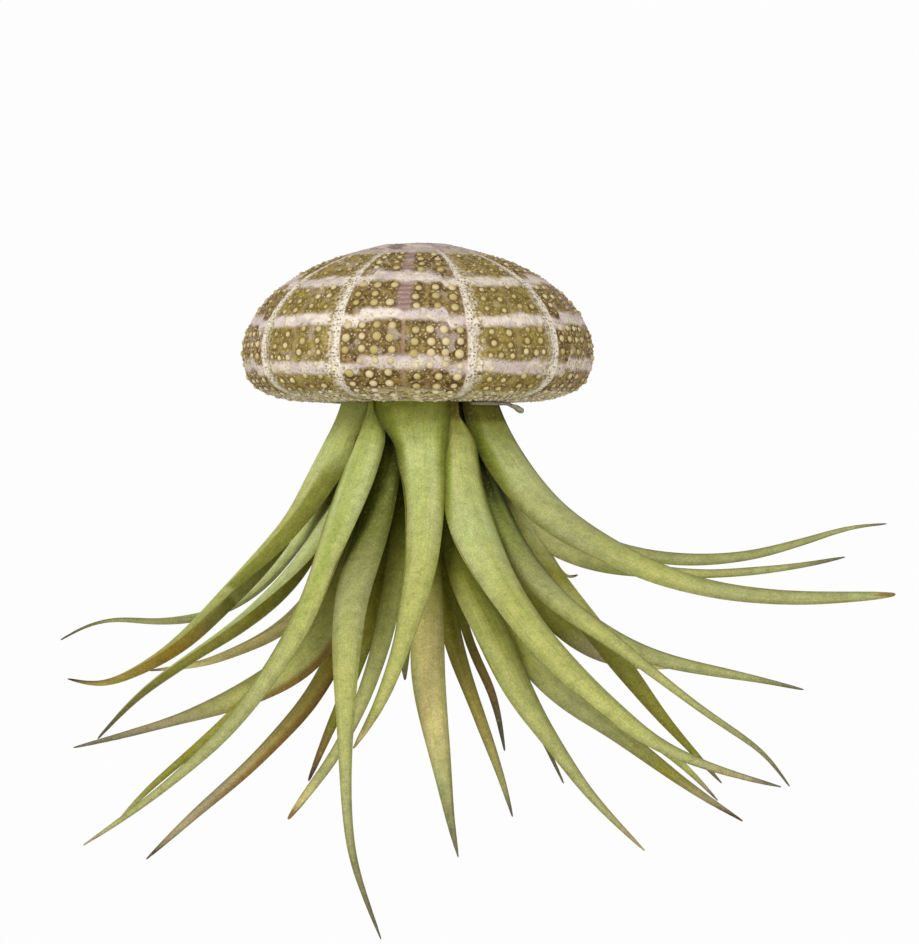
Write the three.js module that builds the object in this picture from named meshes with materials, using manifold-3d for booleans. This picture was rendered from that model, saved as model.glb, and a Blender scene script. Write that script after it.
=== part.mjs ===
// An air plant that hangs upside down from the mouth of a sea urchin shell, so that its leaves fan
// out below the dome like tentacles. Millimetres, +Z up, the front of the plant looks along -Y.
// The origin is the middle of the hole in the shell's top, where the shell is hung from.
import * as THREE from "three";
import Module from "manifold-3d";
import { mergeVertices } from "three/addons/utils/BufferGeometryUtils.js";

// ---------------------------------------------------------------- sea urchin shell
const SHELL_RADIUS = 38; // at the widest band
const SHELL_WALL = 2.2;
const SHELL_SIDES = 50; // ten columns of plates, five facets each
const HOLE_RADIUS = 3.4; // hole in the top
const MOUTH_RADIUS = 19;
const MOUTH_Z = -34.6;
// Outside of the dome from the hole to the mouth, as [share of the shell's radius, z].
const DOME = [
  [0.175, -0.2], [0.27, -1.0], [0.435, -2.8], [0.606, -5.4], [0.776, -9.3], [0.908, -14.5],
  [0.98, -19.7], [1.0, -24.4], [0.977, -28.6], [0.926, -31.2], [0.845, -32.9], [0.72, -34.1],
];

// ---------------------------------------------------------------- woody crown inside the shell
const CROWN_RADIUS = 11;
const CROWN_TOP = -11.5;
const CROWN_EDGE = -13.5; // z where the crown is widest
const CROWN_TIP = -28.5;
const CROWN_POWER = 1.5; // how pointed the crown is below
const CROWN_BEVEL = 1.5; // how much narrower the top face is
const CROWN_SIDES = 24;
const CROWN_STEPS = 7; // rings of facets below

// ---------------------------------------------------------------- leaves
const LEAF_GAP = 0.4; // between a leaf's foot and the crown
const LEAF_STATIONS = 17;
const LEAF_FOOT_WIDTH = 1.3; // of a leaf in the middle, and more for each millimetre out
const LEAF_FOOT_WIDENING = 0.11;
const LEAF_TIP_WIDTH = 0.5;
const LEAF_HALF_WIDTH_MAX = 5.2;
const BACK_CUP = 0.5; // depth of a back leaf's channel over its half width
const FOOT_CUP = 0.12; // the same at the foot
const CUP_FULL_AT = 0.35; // share of the leaf's length where the channel has its own depth
const TIP_ROLL = 0.25; // how much deeper the channel gets near the tip
const TIP_ROLL_FROM = 0.6; // share of the length where that starts
const ARCH_CENTRE = 0.6; // share of the channel's depth that stands above the blade's middle line
const FACING_LIFT = 0.35; // how far up the blades' outer faces look
const BLADE_THICKNESS = 0.26; // plus a share of the half width
const BLADE_THICKNESS_SHARE = 0.14;
const FOOT_SHARE = 0.6; // radius of a leaf's foot on the crown over its radius in the mouth
// Between foot and mouth a leaf bows out through a shoulder, at these shares of the way.
const SHOULDER_OUT = 0.75;
const SHOULDER_DOWN = 0.42;
// A blade seen nearly edge on is made no wider than its seen width over this.
const EDGE_ON_MIN = 0.45;
const SEEN_THICKNESS = 0.2; // of a blade over its half width, where its seen width is worked out
// The routes are drawn as the plant looks from the front, from an eye here.
const EYE = { x: 9, z: -49.5, distance: 800 };
// Depths open out along a leaf, by this share once it is this far from the mouth in the front view.
const DEPTH_OPENING = 0.55;
const DEPTH_OPENING_REACH = 100;

// Each leaf: the azimuth its outer face looks to in the mouth and at its tip, the depth of its channel
// over its half width, and its route from the mouth to the tip as [x, y, z, width], where x, z and
// width are as seen from the front.
const SEEN_LEAVES = {
  leaf_front_1: { turn: [-92, -92], cup: 0.36, route: [
    [-0.8, -16.2, -35, 14], [0.3, -18.5, -42.5, 11.4], [1.2, -22.5, -51, 9.3], [1.4, -26.5, -60, 8.2],
    [0.8, -30, -68.5, 7.1], [-0.9, -33, -77, 6], [-3.2, -35.5, -86, 4], [-6, -37, -94.5, 3.3],
    [-10, -38, -103, 2], [-13.8, -38.5, -109, 0.8]] },
  leaf_front_2: { turn: [-108, -80], cup: 0.42, route: [
    [-5.2, -12, -35, 3.8], [-6, -14.5, -42.5, 4], [-7.6, -20, -53, 5], [-10.3, -27, -64, 5.6],
    [-13.5, -33, -73, 7.1], [-15, -36.6, -81, 7], [-15.5, -40, -90, 6], [-15.7, -42.4, -99, 4.5],
    [-15.7, -44, -109, 3.1], [-15.6, -45, -120, 2.3], [-14.2, -44.6, -133, 1.7], [-8, -42, -150.3, 0.5]] },
  leaf_front_3: { turn: [-95, -100], cup: 0.42, route: [
    [-0.6, -9.8, -36, 4.6], [-2, -13, -50, 5], [-3.6, -19, -65, 5], [-5.8, -23, -77, 4.6],
    [-8.2, -25.5, -88, 4], [-12.9, -27, -101, 2.9], [-18.1, -28, -111, 2.4], [-23.3, -28, -118, 2],
    [-27.8, -28, -124.2, 1.2]] },
  leaf_front_4: { turn: [-100, -110], cup: 0.42, route: [
    [-4.2, -7, -37, 4], [-4.6, -10, -50, 4.6], [-5, -14, -64, 5.4], [-8.2, -16.5, -75, 5],
    [-11.6, -18, -86, 3.9], [-15, -19, -96, 2.8], [-19.2, -19.5, -105.5, 2], [-23.5, -19.5, -116, 0.8]] },
  leaf_front_5: { turn: [-80, -85], cup: 0.36, route: [
    [2.6, -12.8, -36, 3.8], [2.2, -16, -50, 4.6], [1.8, -20, -64, 5], [2.4, -23.5, -77, 6.2],
    [2, -26, -90, 7.6], [2.8, -28, -99, 6.7], [4.2, -29.5, -107, 5.3], [5.8, -30.5, -117, 3.4],
    [7.2, -31, -126, 1.7], [8.7, -31, -132.6, 0.5]] },
  leaf_front_6: { turn: [-75, -60], cup: 0.5, route: [
    [2.2, -8.2, -37, 3], [4, -11, -55, 3.6], [5.4, -13.5, -73, 4.4], [7.7, -15, -86.6, 4.3],
    [10.6, -16, -95, 3.1], [14.5, -17, -105.5, 2.4], [18.2, -17.5, -116, 1.5], [20.4, -17.5, -123.8, 0.5]] },
  leaf_front_7: { turn: [-60, -50], cup: 0.6, route: [
    [1.8, -4.4, -38, 2.6], [4.6, -5.8, -55, 2.8], [8, -7, -73, 2.4], [11, -7.5, -86, 1.9],
    [14, -8, -92.5, 1.9], [16.8, -8, -99.5, 1.6], [18.7, -8, -109.5, 0.6]] },

  leaf_left_1: { turn: [-125, -110], cup: 0.42, route: [
    [-9.3, -13, -35, 6.2], [-10.4, -17, -41.5, 5.2], [-13.3, -22.5, -51.5, 7.2], [-17, -27.5, -61, 6.4],
    [-20.6, -31.5, -71, 5], [-24.8, -34.5, -81.5, 4.8], [-31.5, -36.5, -92.5, 4.1], [-40.8, -37, -105, 3.2],
    [-51, -36.5, -114.5, 2], [-60.6, -35.5, -122.2, 1.5], [-72.1, -34, -130, 0.5]] },
  leaf_left_2: { turn: [-148, 135], cup: 0.8, route: [
    [-13.8, -5.8, -35, 6], [-17.4, -8.6, -42.5, 5.4], [-22, -11.6, -51.2, 5.6], [-26.7, -14.2, -59.5, 6],
    [-34, -17, -69, 5.6], [-42.3, -19, -77.8, 4.5], [-52, -20.6, -87.3, 3.6], [-62.3, -21.6, -93.4, 2],
    [-69.5, -22, -95.9, 1.2], [-75.5, -22, -94.2, 0.5]] },
  leaf_left_3: { turn: [-150, 140], cup: 0.8, route: [
    [-9.8, -8, -36, 3.6], [-12.4, -12, -46, 4], [-16.8, -17, -56.5, 4.2], [-22, -20.6, -65, 4.4],
    [-27, -23, -72.4, 4.5], [-36, -26, -80.8, 3.8], [-45.3, -28, -87.2, 2.7], [-54.6, -29.2, -93.3, 2],
    [-61, -29.8, -98.3, 1.6], [-69, -30, -107, 0.6]] },
  leaf_left_4: { turn: [-165, 130], cup: 0.8, route: [
    [-12, -2.4, -36, 2], [-15.2, -4, -47, 2.4], [-21.5, -5, -59, 3], [-29, -4.8, -69.6, 2.8],
    [-38.4, -4, -77.8, 2], [-48.5, -3, -81.2, 2], [-57.4, -2, -81.9, 1.4], [-66, -1, -81.1, 0.8],
    [-72, -0.4, -82.7, 0.6], [-77, 0, -85.7, 0.4]] },
  leaf_left_5: { turn: [-130, -140], cup: 0.6, route: [
    [-7.6, -7, -37, 2.8], [-11, -11.6, -50, 2.8], [-16.5, -18, -64, 2.8], [-22.5, -22.5, -76, 2.8],
    [-29.6, -26.5, -90, 2.7], [-39, -29, -101, 2.5], [-50.3, -29.5, -111.2, 1.9], [-58.5, -29, -118.1, 1.4],
    [-65.2, -28.5, -125.5, 0.6]] },
  leaf_left_6: { turn: [-115, -100], cup: 0.5, route: [
    [-7.2, -3.4, -37, 3], [-9.4, -8, -52, 4], [-13, -12.5, -68, 5.6], [-18.8, -15.5, -83.4, 7],
    [-25.2, -17.4, -90.5, 7.4], [-31.5, -19, -94.8, 6.6], [-41, -21, -99.2, 4.5], [-50, -22.6, -102.5, 2.5],
    [-61.9, -24, -105.9, 1.4], [-74.2, -25, -109, 0.5]] },
  leaf_left_7: { turn: [-170, 130], cup: 0.7, route: [
    [-8.4, 0.6, -37, 1.9], [-11.6, -2, -52, 2.6], [-17.4, -6.6, -68, 3], [-26.5, -9.5, -80.8, 3.5],
    [-33, -10, -85.4, 2.9], [-39.3, -10, -88.2, 2.2], [-46, -9.8, -90.8, 1.5], [-57.8, -9, -92.4, 0.5]] },
  leaf_left_8: { turn: [-118, -105], cup: 0.5, route: [
    [-4.2, -2.8, -37, 3], [-6, -5.6, -55, 4.2], [-10, -9, -72, 4.8], [-16, -11, -85.4, 4.6],
    [-21.7, -12, -96.9, 4], [-27.6, -12.5, -104, 3.6], [-36.6, -13, -113.4, 2.9], [-47.6, -13, -122.9, 2.2],
    [-58.5, -13, -133, 0.6]] },

  leaf_right_1: { turn: [-62, -65], cup: 0.42, route: [
    [8.4, -14.2, -35, 5.6], [8.9, -16.5, -42.5, 5.2], [9.6, -20, -51.5, 7], [10.9, -24, -60, 8.6],
    [14.4, -28, -68.5, 7.6], [19.7, -31.5, -77, 6.9], [26.2, -34.4, -85.7, 6.2], [34.4, -36.6, -94.4, 5.3],
    [43.7, -38.2, -102.6, 4.3], [53.4, -39.2, -109.5, 2.6], [65.3, -39.8, -114, 1.8],
    [78.3, -40, -117.5, 0.5]] },
  leaf_right_2: { turn: [-45, -60], cup: 0.5, route: [
    [13.9, -6.6, -35, 6.4], [16.6, -8.4, -41.8, 6.5], [21, -11, -49, 6.8], [26.4, -13.6, -56, 6.2],
    [34, -16.5, -62.3, 5.9], [42.5, -18.6, -67.3, 5.5], [52, -20.4, -71.6, 4.6], [63, -21.8, -74.8, 3.7],
    [77.6, -23, -76.6, 3.2], [92.5, -23.6, -76.6, 2.5], [102.7, -24, -76, 1.4]] },
  leaf_right_3: { turn: [-8, -60], cup: 0.7, route: [
    [15.8, -0.2, -35, 2.6], [17.6, 0.8, -43, 3], [21.6, 2.4, -51, 3.4], [28, 4, -58, 3.4],
    [36, 5.6, -63.2, 3.2], [44.5, 7, -66.6, 2.6], [54, 8.4, -68.2, 2.7], [62.9, 9.6, -68.5, 2.5],
    [72.5, 11, -67.5, 2.1], [85.2, 12.4, -64, 1.5], [94, 13.4, -61.2, 0.8], [101.1, 14, -60.7, 0.4]] },
  leaf_right_4: { turn: [-25, -55], cup: 0.7, route: [
    [12.4, -1.4, -36, 1.9], [14.8, -2.2, -47, 2.6], [19.3, -3, -57.4, 3.2], [26.4, -3.4, -63.8, 3.2],
    [34, -3.8, -67.8, 3.6], [43, -4.2, -70, 3.4], [52, -4.4, -71.1, 2.6], [62.9, -4.4, -71.6, 1.9],
    [73, -4.4, -70.9, 1.8], [84.1, -4.4, -69.5, 1.1], [92.1, -4.4, -67.9, 0.4]] },
  leaf_right_5: { turn: [-48, -70], cup: 0.6, route: [
    [9.4, -10.4, -36, 3.2], [11.6, -12.2, -45, 3.2], [15.4, -15, -54, 3.4], [19.4, -18, -64, 4],
    [24.7, -21.4, -72.6, 4.8], [31.8, -24.6, -78.8, 4.4], [40.5, -27.4, -85, 3.5], [49.9, -29.6, -92.1, 2.1],
    [60.6, -31, -100.4, 1.5], [71.8, -31.8, -108, 1.3], [77.2, -32, -112, 0.9], [80.2, -32, -117.3, 0.4]] },
  leaf_right_6: { turn: [-30, -45], cup: 0.6, route: [
    [11.8, -5.8, -36, 2.4], [13.8, -6.6, -44, 2.6], [17.2, -7.6, -52.3, 3], [22.8, -8.6, -63.1, 4],
    [28.8, -9.4, -71.8, 4.9], [36.5, -10.2, -81.3, 4.8], [43.8, -11, -91, 4.9], [48, -11.4, -96.2, 3.9],
    [53.4, -12, -103.2, 2.3], [59.9, -12.4, -110.4, 1.5], [65.5, -12.6, -116.6, 0.5]] },
  leaf_right_7: { turn: [-40, -70], cup: 0.6, route: [
    [9, -3.8, -37, 2.4], [11.4, -7.2, -50, 3], [17, -12, -62, 3.4], [26, -15.4, -73.2, 4],
    [35, -17.4, -80.8, 3.8], [45.7, -18.8, -87.6, 3.8], [55, -19.8, -90.8, 3.1], [65.3, -20.4, -92.8, 2.2],
    [74, -20.8, -94.4, 1.3], [83.2, -21, -96.5, 0.4]] },
  leaf_right_8: { turn: [-66, -62], cup: 0.42, route: [
    [7, -11.2, -36, 3.2], [6.4, -13.4, -48, 3.4], [6.8, -17.4, -60, 4], [8.6, -22, -69.5, 5.6],
    [12.4, -25.4, -77.4, 6.9], [16.8, -28.4, -86, 7.3], [20.4, -30.6, -94.4, 7], [24.9, -32.4, -102, 4.6],
    [30.6, -33.8, -110.2, 3.2], [37.5, -34.6, -119.7, 2], [48.9, -35, -131.2, 0.5]] },
  leaf_right_9: { turn: [-58, -55], cup: 0.5, route: [
    [6.2, -6.4, -37, 2.8], [7.6, -10.4, -52, 3.6], [11.4, -16, -67, 4.4], [17.4, -20.6, -80.4, 5.2],
    [24.3, -24, -90.2, 6], [32, -26.6, -98.4, 5.2], [40.6, -28.6, -104, 4], [49.8, -30.2, -111, 2.9],
    [59.2, -31, -118, 2], [70, -31.4, -124.8, 0.5]] },
  leaf_right_10: { turn: [-40, -40], cup: 0.5, route: [
    [4.8, -0.8, -38, 2.4], [8, -4, -54, 2.6], [15, -8.2, -70, 2.8], [26, -12, -86, 3],
    [39, -15, -99, 2.8], [50, -17, -107, 2.5], [57.5, -18, -112.8, 1.6], [64.6, -18.4, -120.3, 0.4]] },
  leaf_right_11: { turn: [-20, -45], cup: 0.5, route: [
    [9.4, 0.4, -37, 1.8], [11, -0.4, -51, 2.8], [16, 0.2, -65, 3.8], [24, 1.6, -75.6, 4.6],
    [31, 3, -82.6, 5.2], [38.2, 4.2, -88, 4], [46, 5.4, -91, 2.2], [55.8, 6.4, -91.8, 0.5]] },
  leaf_right_12: { turn: [-50, -50], cup: 0.5, route: [
    [1.6, 0.6, -39, 2.4], [5, -1, -58, 2.4], [11, -2.4, -78, 2.2], [19, -3.2, -95, 1.8],
    [25.6, -3.6, -104.4, 1.2], [31.4, -3.6, -116.6, 0.4]] },
};

// The leaves behind, whose widths are their real ones.
const BACK_LEAVES = {
  leaf_back_1: { turn: [95, 95], route: [
    [-1.4, 16.4, -35, 7.6], [-2, 22, -46, 7.4], [-2.6, 31, -58, 7], [-3.4, 42, -69, 6],
    [-3.6, 53, -77.4, 4.2], [-2.6, 66, -84, 0.6]] },
  leaf_back_2: { turn: [80, 90], route: [
    [3, 12.6, -36, 5], [2.4, 17, -50, 6], [0.4, 22.6, -64, 6], [-1.4, 28, -77, 4.4],
    [-2.8, 32.4, -87.6, 2.4], [-2.8, 35, -94.2, 0.9]] },
  leaf_back_3: { turn: [125, 125], route: [
    [-8.4, 13.8, -35, 6.4], [-12.6, 20, -46, 6.6], [-17.4, 28, -56.6, 5.6], [-22, 37.4, -65, 4.6],
    [-26, 47.6, -70.6, 2.8], [-29.6, 58, -73.2, 0.6]] },
  leaf_back_4: { turn: [150, 150], route: [
    [-13.2, 9.2, -35, 5], [-17.6, 13.6, -44.4, 4.2], [-23.6, 19, -54.6, 4], [-31.6, 25, -65.6, 3.6],
    [-39.6, 30, -75, 2.8], [-48, 34, -83.4, 1.6], [-54, 36.4, -88.2, 0.6]] },
  leaf_back_5: { turn: [172, 172], route: [
    [-15.6, 2, -35, 5], [-19.4, 4, -44.4, 3.6], [-24.4, 6.4, -53.6, 3.2], [-30.8, 8.4, -63.6, 3],
    [-38.4, 10, -73, 2.4], [-46.6, 11, -81.4, 1.2], [-51, 11.4, -85, 0.5]] },
  leaf_back_6: { turn: [58, 60], route: [
    [7.8, 14.2, -35, 6.4], [11.4, 20, -47, 6.6], [16, 28.4, -58.6, 5.6], [21, 37.6, -67.6, 4.6],
    [25.4, 47, -74, 2.8], [28.8, 55, -78.6, 0.6]] },
  leaf_back_7: { turn: [38, 30], route: [
    [12.4, 10, -35, 5], [17, 15.4, -44.6, 4.4], [24.6, 22.4, -53.8, 3.6], [34, 30, -62, 3.2],
    [44.6, 37, -67.8, 2.6], [54.6, 42.6, -71.4, 1.6], [63.6, 46.6, -73.4, 0.5]] },
  leaf_back_8: { turn: [20, 20], route: [
    [14.8, 5.4, -35, 4], [18, 9, -45.4, 4], [22.4, 14, -56, 3.4], [27, 19.4, -64.6, 2.8],
    [31, 24, -71, 1.8], [33.2, 27, -72.9, 0.9], [34.4, 28.6, -71.8, 0.7]] },
  leaf_back_9: { turn: [72, 72], route: [
    [2.4, 8.8, -38, 3.8], [4.6, 12.6, -54, 4.6], [6, 17, -68, 4], [7.6, 21.4, -80, 2.4],
    [8.2, 24, -87, 0.6]] },
  leaf_back_10: { turn: [108, 108], route: [
    [-3, 8.6, -38, 4], [-5.6, 13, -54, 4.6], [-8.8, 18.4, -68, 4], [-11.8, 23.4, -81, 2.6],
    [-13.4, 26.6, -90, 0.6]] },
  leaf_back_11: { turn: [140, 140], route: [
    [-7, 6, -38, 3.8], [-10.8, 9.4, -52, 4], [-15.6, 13.6, -65, 3.6], [-20.6, 18, -77, 2.6],
    [-24, 21, -85, 0.6]] },
  leaf_back_12: { turn: [45, 45], route: [
    [6.2, 7.2, -38, 3.4], [10, 9.6, -53, 4], [14.6, 13.6, -66, 3.6], [19.8, 18, -78, 2.6],
    [24, 21.4, -87, 0.6]] },
  leaf_back_13: { turn: [15, 15], route: [
    [8.6, 5, -38, 2.8], [13, 6.4, -51, 3.4], [18.6, 7.6, -62.6, 3], [25.6, 10, -73.4, 2.4],
    [32, 12, -80.4, 0.6]] },
};

// ---------------------------------------------------------------- glue
// A clear film of hot glue under the shell's rim at the front right, with a small drawn-out tab.
const GLUE_THICKNESS = 0.8;
const GLUE_GAP = 0.3; // to the shell and to the leaf
const GLUE_INNER_RADIUS = 18.6;
const GLUE_OUTER_RADIUS = 21.2;
const GLUE_AZIMUTHS = [-54, -14]; // degrees
const TAB_RADIUS = 0.6;
const TAB_FROM = [19.4, -7.6, -35.3];
const TAB_TO = [22.2, -8.2, -36.7];

// ---------------------------------------------------------------- finishes
const FINISH = {
  shell: { color: 0xb9a98a, roughness: 0.75, metalness: 0 },
  crown: { color: 0x5a4630, roughness: 0.9, metalness: 0 },
  leaf: { color: 0x9aa468, roughness: 0.7, metalness: 0 },
  glue: { color: 0xd8d6c4, roughness: 0.3, metalness: 0 },
};

const material = (finish) => new THREE.MeshStandardMaterial(FINISH[finish]);

function named(name, geometry, finish) {
  const mesh = new THREE.Mesh(geometry, material(finish));
  mesh.name = name;
  return mesh;
}

// Turns a closed [radius, z] outline about the Z axis.
function turned(outline, sides) {
  const profile = outline.map(([r, z]) => new THREE.Vector2(r, z));
  const geometry = new THREE.LatheGeometry(profile, sides);
  geometry.rotateX(Math.PI / 2);
  return geometry;
}

function indexed(positions, indices) {
  const geometry = new THREE.BufferGeometry();
  geometry.setAttribute("position", new THREE.Float32BufferAttribute(positions, 3));
  geometry.setIndex(indices);
  geometry.computeVertexNormals();
  return geometry;
}

// ---------------------------------------------------------------- shell and crown
function shellGeometry() {
  const outside = DOME.map(([share, z]) => [share * SHELL_RADIUS, z]);
  const mouth = [MOUTH_RADIUS, MOUTH_Z];
  const hole = [HOLE_RADIUS, 0];
  const walls = [hole, ...outside, mouth];
  // The inside follows the outside at the wall's thickness, square to the outline.
  const inside = outside.map(([r, z], i) => {
    const [r0, z0] = walls[i];
    const [r1, z1] = walls[i + 2];
    const length = Math.hypot(r1 - r0, z1 - z0);
    return [r + (SHELL_WALL * (z1 - z0)) / length, z - (SHELL_WALL * (r1 - r0)) / length];
  });
  const outline = [
    hole, ...outside, mouth,
    [MOUTH_RADIUS, MOUTH_Z + SHELL_WALL], ...inside.reverse(), [HOLE_RADIUS, -SHELL_WALL],
    hole,
  ];
  return turned(outline.reverse(), SHELL_SIDES);
}

// Height of the crown's lower surface at a radius, and its outward normal there.
function crownAt(radius) {
  const rise = CROWN_EDGE - CROWN_TIP;
  const z = CROWN_TIP + rise * (radius / CROWN_RADIUS) ** CROWN_POWER;
  const slope = ((rise * CROWN_POWER) / CROWN_RADIUS) * (radius / CROWN_RADIUS) ** (CROWN_POWER - 1);
  const length = Math.hypot(slope, 1);
  return { z, out: slope / length, down: -1 / length };
}

function crownGeometry() {
  const outline = [[0, CROWN_TOP], [CROWN_RADIUS - CROWN_BEVEL, CROWN_TOP]];
  for (let i = CROWN_STEPS; i > 0; i--) {
    const radius = (CROWN_RADIUS * i) / CROWN_STEPS;
    outline.push([radius, crownAt(radius).z]);
  }
  outline.push([0, CROWN_TIP]);
  return turned(outline.reverse(), CROWN_SIDES);
}

// ---------------------------------------------------------------- leaf
// A leaf's whole route in real places: its foot on the crown, then the route below the mouth.
function leafPath(route, opening) {
  const real = route.map(([x, drawnY, z, width]) => {
    const reach = Math.min(1, Math.hypot(x, z - MOUTH_Z) / DEPTH_OPENING_REACH);
    const y = drawnY * (1 + opening * reach);
    const scale = (EYE.distance + y) / EYE.distance;
    return [EYE.x + (x - EYE.x) * scale, y, EYE.z + (z - EYE.z) * scale, width * scale];
  });
  const [mouthX, mouthY, mouthZ, mouthWidth] = real[0];
  const mouthRadius = Math.hypot(mouthX, mouthY);
  const footRadius = FOOT_SHARE * mouthRadius;
  const crown = crownAt(footRadius);
  const footWidth = LEAF_FOOT_WIDTH + LEAF_FOOT_WIDENING * mouthRadius;
  const [outX, outY] = [mouthX / mouthRadius, mouthY / mouthRadius];
  const at = (radius, z, width) => [outX * radius, outY * radius, z, width];
  const foot = at(footRadius + LEAF_GAP * crown.out, crown.z + LEAF_GAP * crown.down, footWidth);
  const shoulder = at(
    footRadius + (mouthRadius - footRadius) * SHOULDER_OUT,
    crown.z + (mouthZ - crown.z) * SHOULDER_DOWN,
    (footWidth + mouthWidth) / 2,
  );
  return [foot, shoulder, ...real];
}

// Across a blade: five points on the outer face from margin to margin, then three back on the inner.
function bladeSection(halfWidth, cup, thickness) {
  const arch = (s) => cup * halfWidth * (ARCH_CENTRE - s * s);
  const outer = [-1, -0.5, 0, 0.5, 1].map((s) => [s * halfWidth, arch(s)]);
  const inner = [0.5, 0, -0.5].map((s) => [s * halfWidth, arch(s) - thickness]);
  return [...outer, ...inner];
}

// How far a section reaches along a direction in the front view.
function seenReach(section, across, out, side) {
  const reach = section.map(([a, b]) => a * across.dot(side) + b * out.dot(side));
  return { low: Math.min(...reach), high: Math.max(...reach) };
}

// The shorter turn from one azimuth to another, in degrees.
function shortWay(from, to) {
  return ((((to - from) % 360) + 540) % 360) - 180;
}

// Where the outer face looks: straight out at the foot, then to turn[0] in the mouth, which the leaf
// passes at mouthT of its way, and to turn[1] at the tip.
function facingAt(t, mouthT, radial, turn) {
  const degrees = t < mouthT
    ? radial + (shortWay(radial, turn[0]) * t) / mouthT
    : turn[0] + (shortWay(turn[0], turn[1]) * (t - mouthT)) / (1 - mouthT);
  const azimuth = THREE.MathUtils.degToRad(degrees);
  return new THREE.Vector3(Math.cos(azimuth), Math.sin(azimuth), FACING_LIFT);
}

// Depth of the channel over the half width, at a share of the leaf's length.
function cupAt(share, bladeCup) {
  const opened = THREE.MathUtils.lerp(FOOT_CUP, bladeCup, Math.min(1, share / CUP_FULL_AT));
  return opened + TIP_ROLL * Math.max(0, (share - TIP_ROLL_FROM) / (1 - TIP_ROLL_FROM));
}

// The leaf's sections from foot to tip, each with its middle, its direction and its points.
function leafSections({ turn, cup: bladeCup = BACK_CUP, route }, widthIsAsSeen) {
  const path = leafPath(route, widthIsAsSeen ? DEPTH_OPENING : 0);
  const line = new THREE.CatmullRomCurve3(path.map(([x, y, z]) => new THREE.Vector3(x, y, z)));
  const widths = new THREE.CatmullRomCurve3(
    path.map(([, , , width]) => new THREE.Vector3(width, 0, 0)),
  );
  const [mouthX, mouthY] = route[0];
  const radial = THREE.MathUtils.radToDeg(Math.atan2(mouthY, mouthX));
  const mouthT = 2 / (path.length - 1);
  const sections = [];
  for (let i = 0; i < LEAF_STATIONS; i++) {
    const share = i / (LEAF_STATIONS - 1);
    const t = line.getUtoTmapping(share);
    const centre = line.getPoint(t);
    const along = line.getTangent(t);
    const facing = facingAt(t, mouthT, radial, turn);
    const out = facing.addScaledVector(along, -facing.dot(along)).normalize();
    const across = new THREE.Vector3().crossVectors(along, out);
    const side = new THREE.Vector3(-along.z, 0, along.x).normalize();
    const cup = cupAt(share, bladeCup);
    const seen = seenReach(bladeSection(1, cup, SEEN_THICKNESS), across, out, side);
    const seenShare = Math.max((seen.high - seen.low) / 2, EDGE_ON_MIN);
    const inMouth = Math.min(1, t / mouthT);
    const asSeen = widthIsAsSeen ? THREE.MathUtils.lerp(1, seenShare, inMouth) : 1;
    const wanted = Math.max(LEAF_TIP_WIDTH, widths.getPoint(t).x) / 2;
    const halfWidth = Math.min(LEAF_HALF_WIDTH_MAX, wanted / asSeen);
    const thickness = BLADE_THICKNESS + BLADE_THICKNESS_SHARE * halfWidth;
    // The route is the middle of what is seen from the front.
    const middle = centre.clone().addScaledVector(side, (-halfWidth * (seen.high + seen.low)) / 2);
    const points = bladeSection(halfWidth, cup, thickness).map(([a, b]) => (
      middle.clone().addScaledVector(across, a).addScaledVector(out, b)
    ));
    sections.push({ centre, along, halfWidth, points });
  }
  return sections;
}

// A leaf is skinned through its sections and closed by a fan at the foot and a point at the tip.
function leafGeometry(leaf, widthIsAsSeen) {
  const sections = leafSections(leaf, widthIsAsSeen);
  const ringSize = sections[0].points.length;
  const end = sections[sections.length - 1];
  const footCentre = sections[0].centre;
  const tip = end.centre.clone().addScaledVector(end.along, end.halfWidth);
  const points = [...sections.flatMap((section) => section.points), footCentre, tip];
  const last = (sections.length - 1) * ringSize;
  const footIndex = last + ringSize;
  const indices = [];
  for (let j = 0; j < ringSize; j++) {
    const next = (j + 1) % ringSize;
    for (let start = 0; start < last; start += ringSize) {
      const [a, b] = [start + j, start + next];
      const [c, d] = [b + ringSize, a + ringSize];
      indices.push(a, b, c, a, c, d);
    }
    indices.push(footIndex, next, j);
    indices.push(footIndex + 1, last + j, last + next);
  }
  return indexed(points.flatMap((point) => point.toArray()), indices);
}

// ---------------------------------------------------------------- glue film
const wasm = await Module();
wasm.setup();

function solidOf(geometry) {
  for (const name of Object.keys(geometry.attributes)) {
    if (name !== "position") geometry.deleteAttribute(name);
  }
  const merged = mergeVertices(geometry, 1e-5);
  const vertProperties = new Float32Array(merged.attributes.position.array);
  const triVerts = new Uint32Array(merged.index.array);
  return new wasm.Manifold(new wasm.Mesh({ numProp: 3, vertProperties, triVerts }));
}

function glueGeometry() {
  const [from, to] = GLUE_AZIMUTHS.map(THREE.MathUtils.degToRad);
  const outline = new THREE.Shape();
  outline.absarc(0, 0, GLUE_OUTER_RADIUS, from, to, false);
  outline.absarc(0, 0, GLUE_INNER_RADIUS, to, from, true);
  outline.closePath();
  const flat = { depth: GLUE_THICKNESS, bevelEnabled: false, curveSegments: 8 };
  const film = new THREE.ExtrudeGeometry(outline, flat);
  film.translate(0, 0, MOUTH_Z - GLUE_GAP - GLUE_THICKNESS);
  const start = new THREE.Vector3(...TAB_FROM);
  const end = new THREE.Vector3(...TAB_TO);
  const tab = new THREE.CapsuleGeometry(TAB_RADIUS, start.distanceTo(end), 3, 8);
  const upright = new THREE.Vector3(0, 1, 0);
  const direction = end.clone().sub(start).normalize();
  tab.applyQuaternion(new THREE.Quaternion().setFromUnitVectors(upright, direction));
  tab.translate(...start.add(end).multiplyScalar(0.5).toArray());
  const joined = solidOf(film).add(solidOf(tab)).getMesh();
  return indexed(joined.vertProperties, Array.from(joined.triVerts));
}

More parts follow.
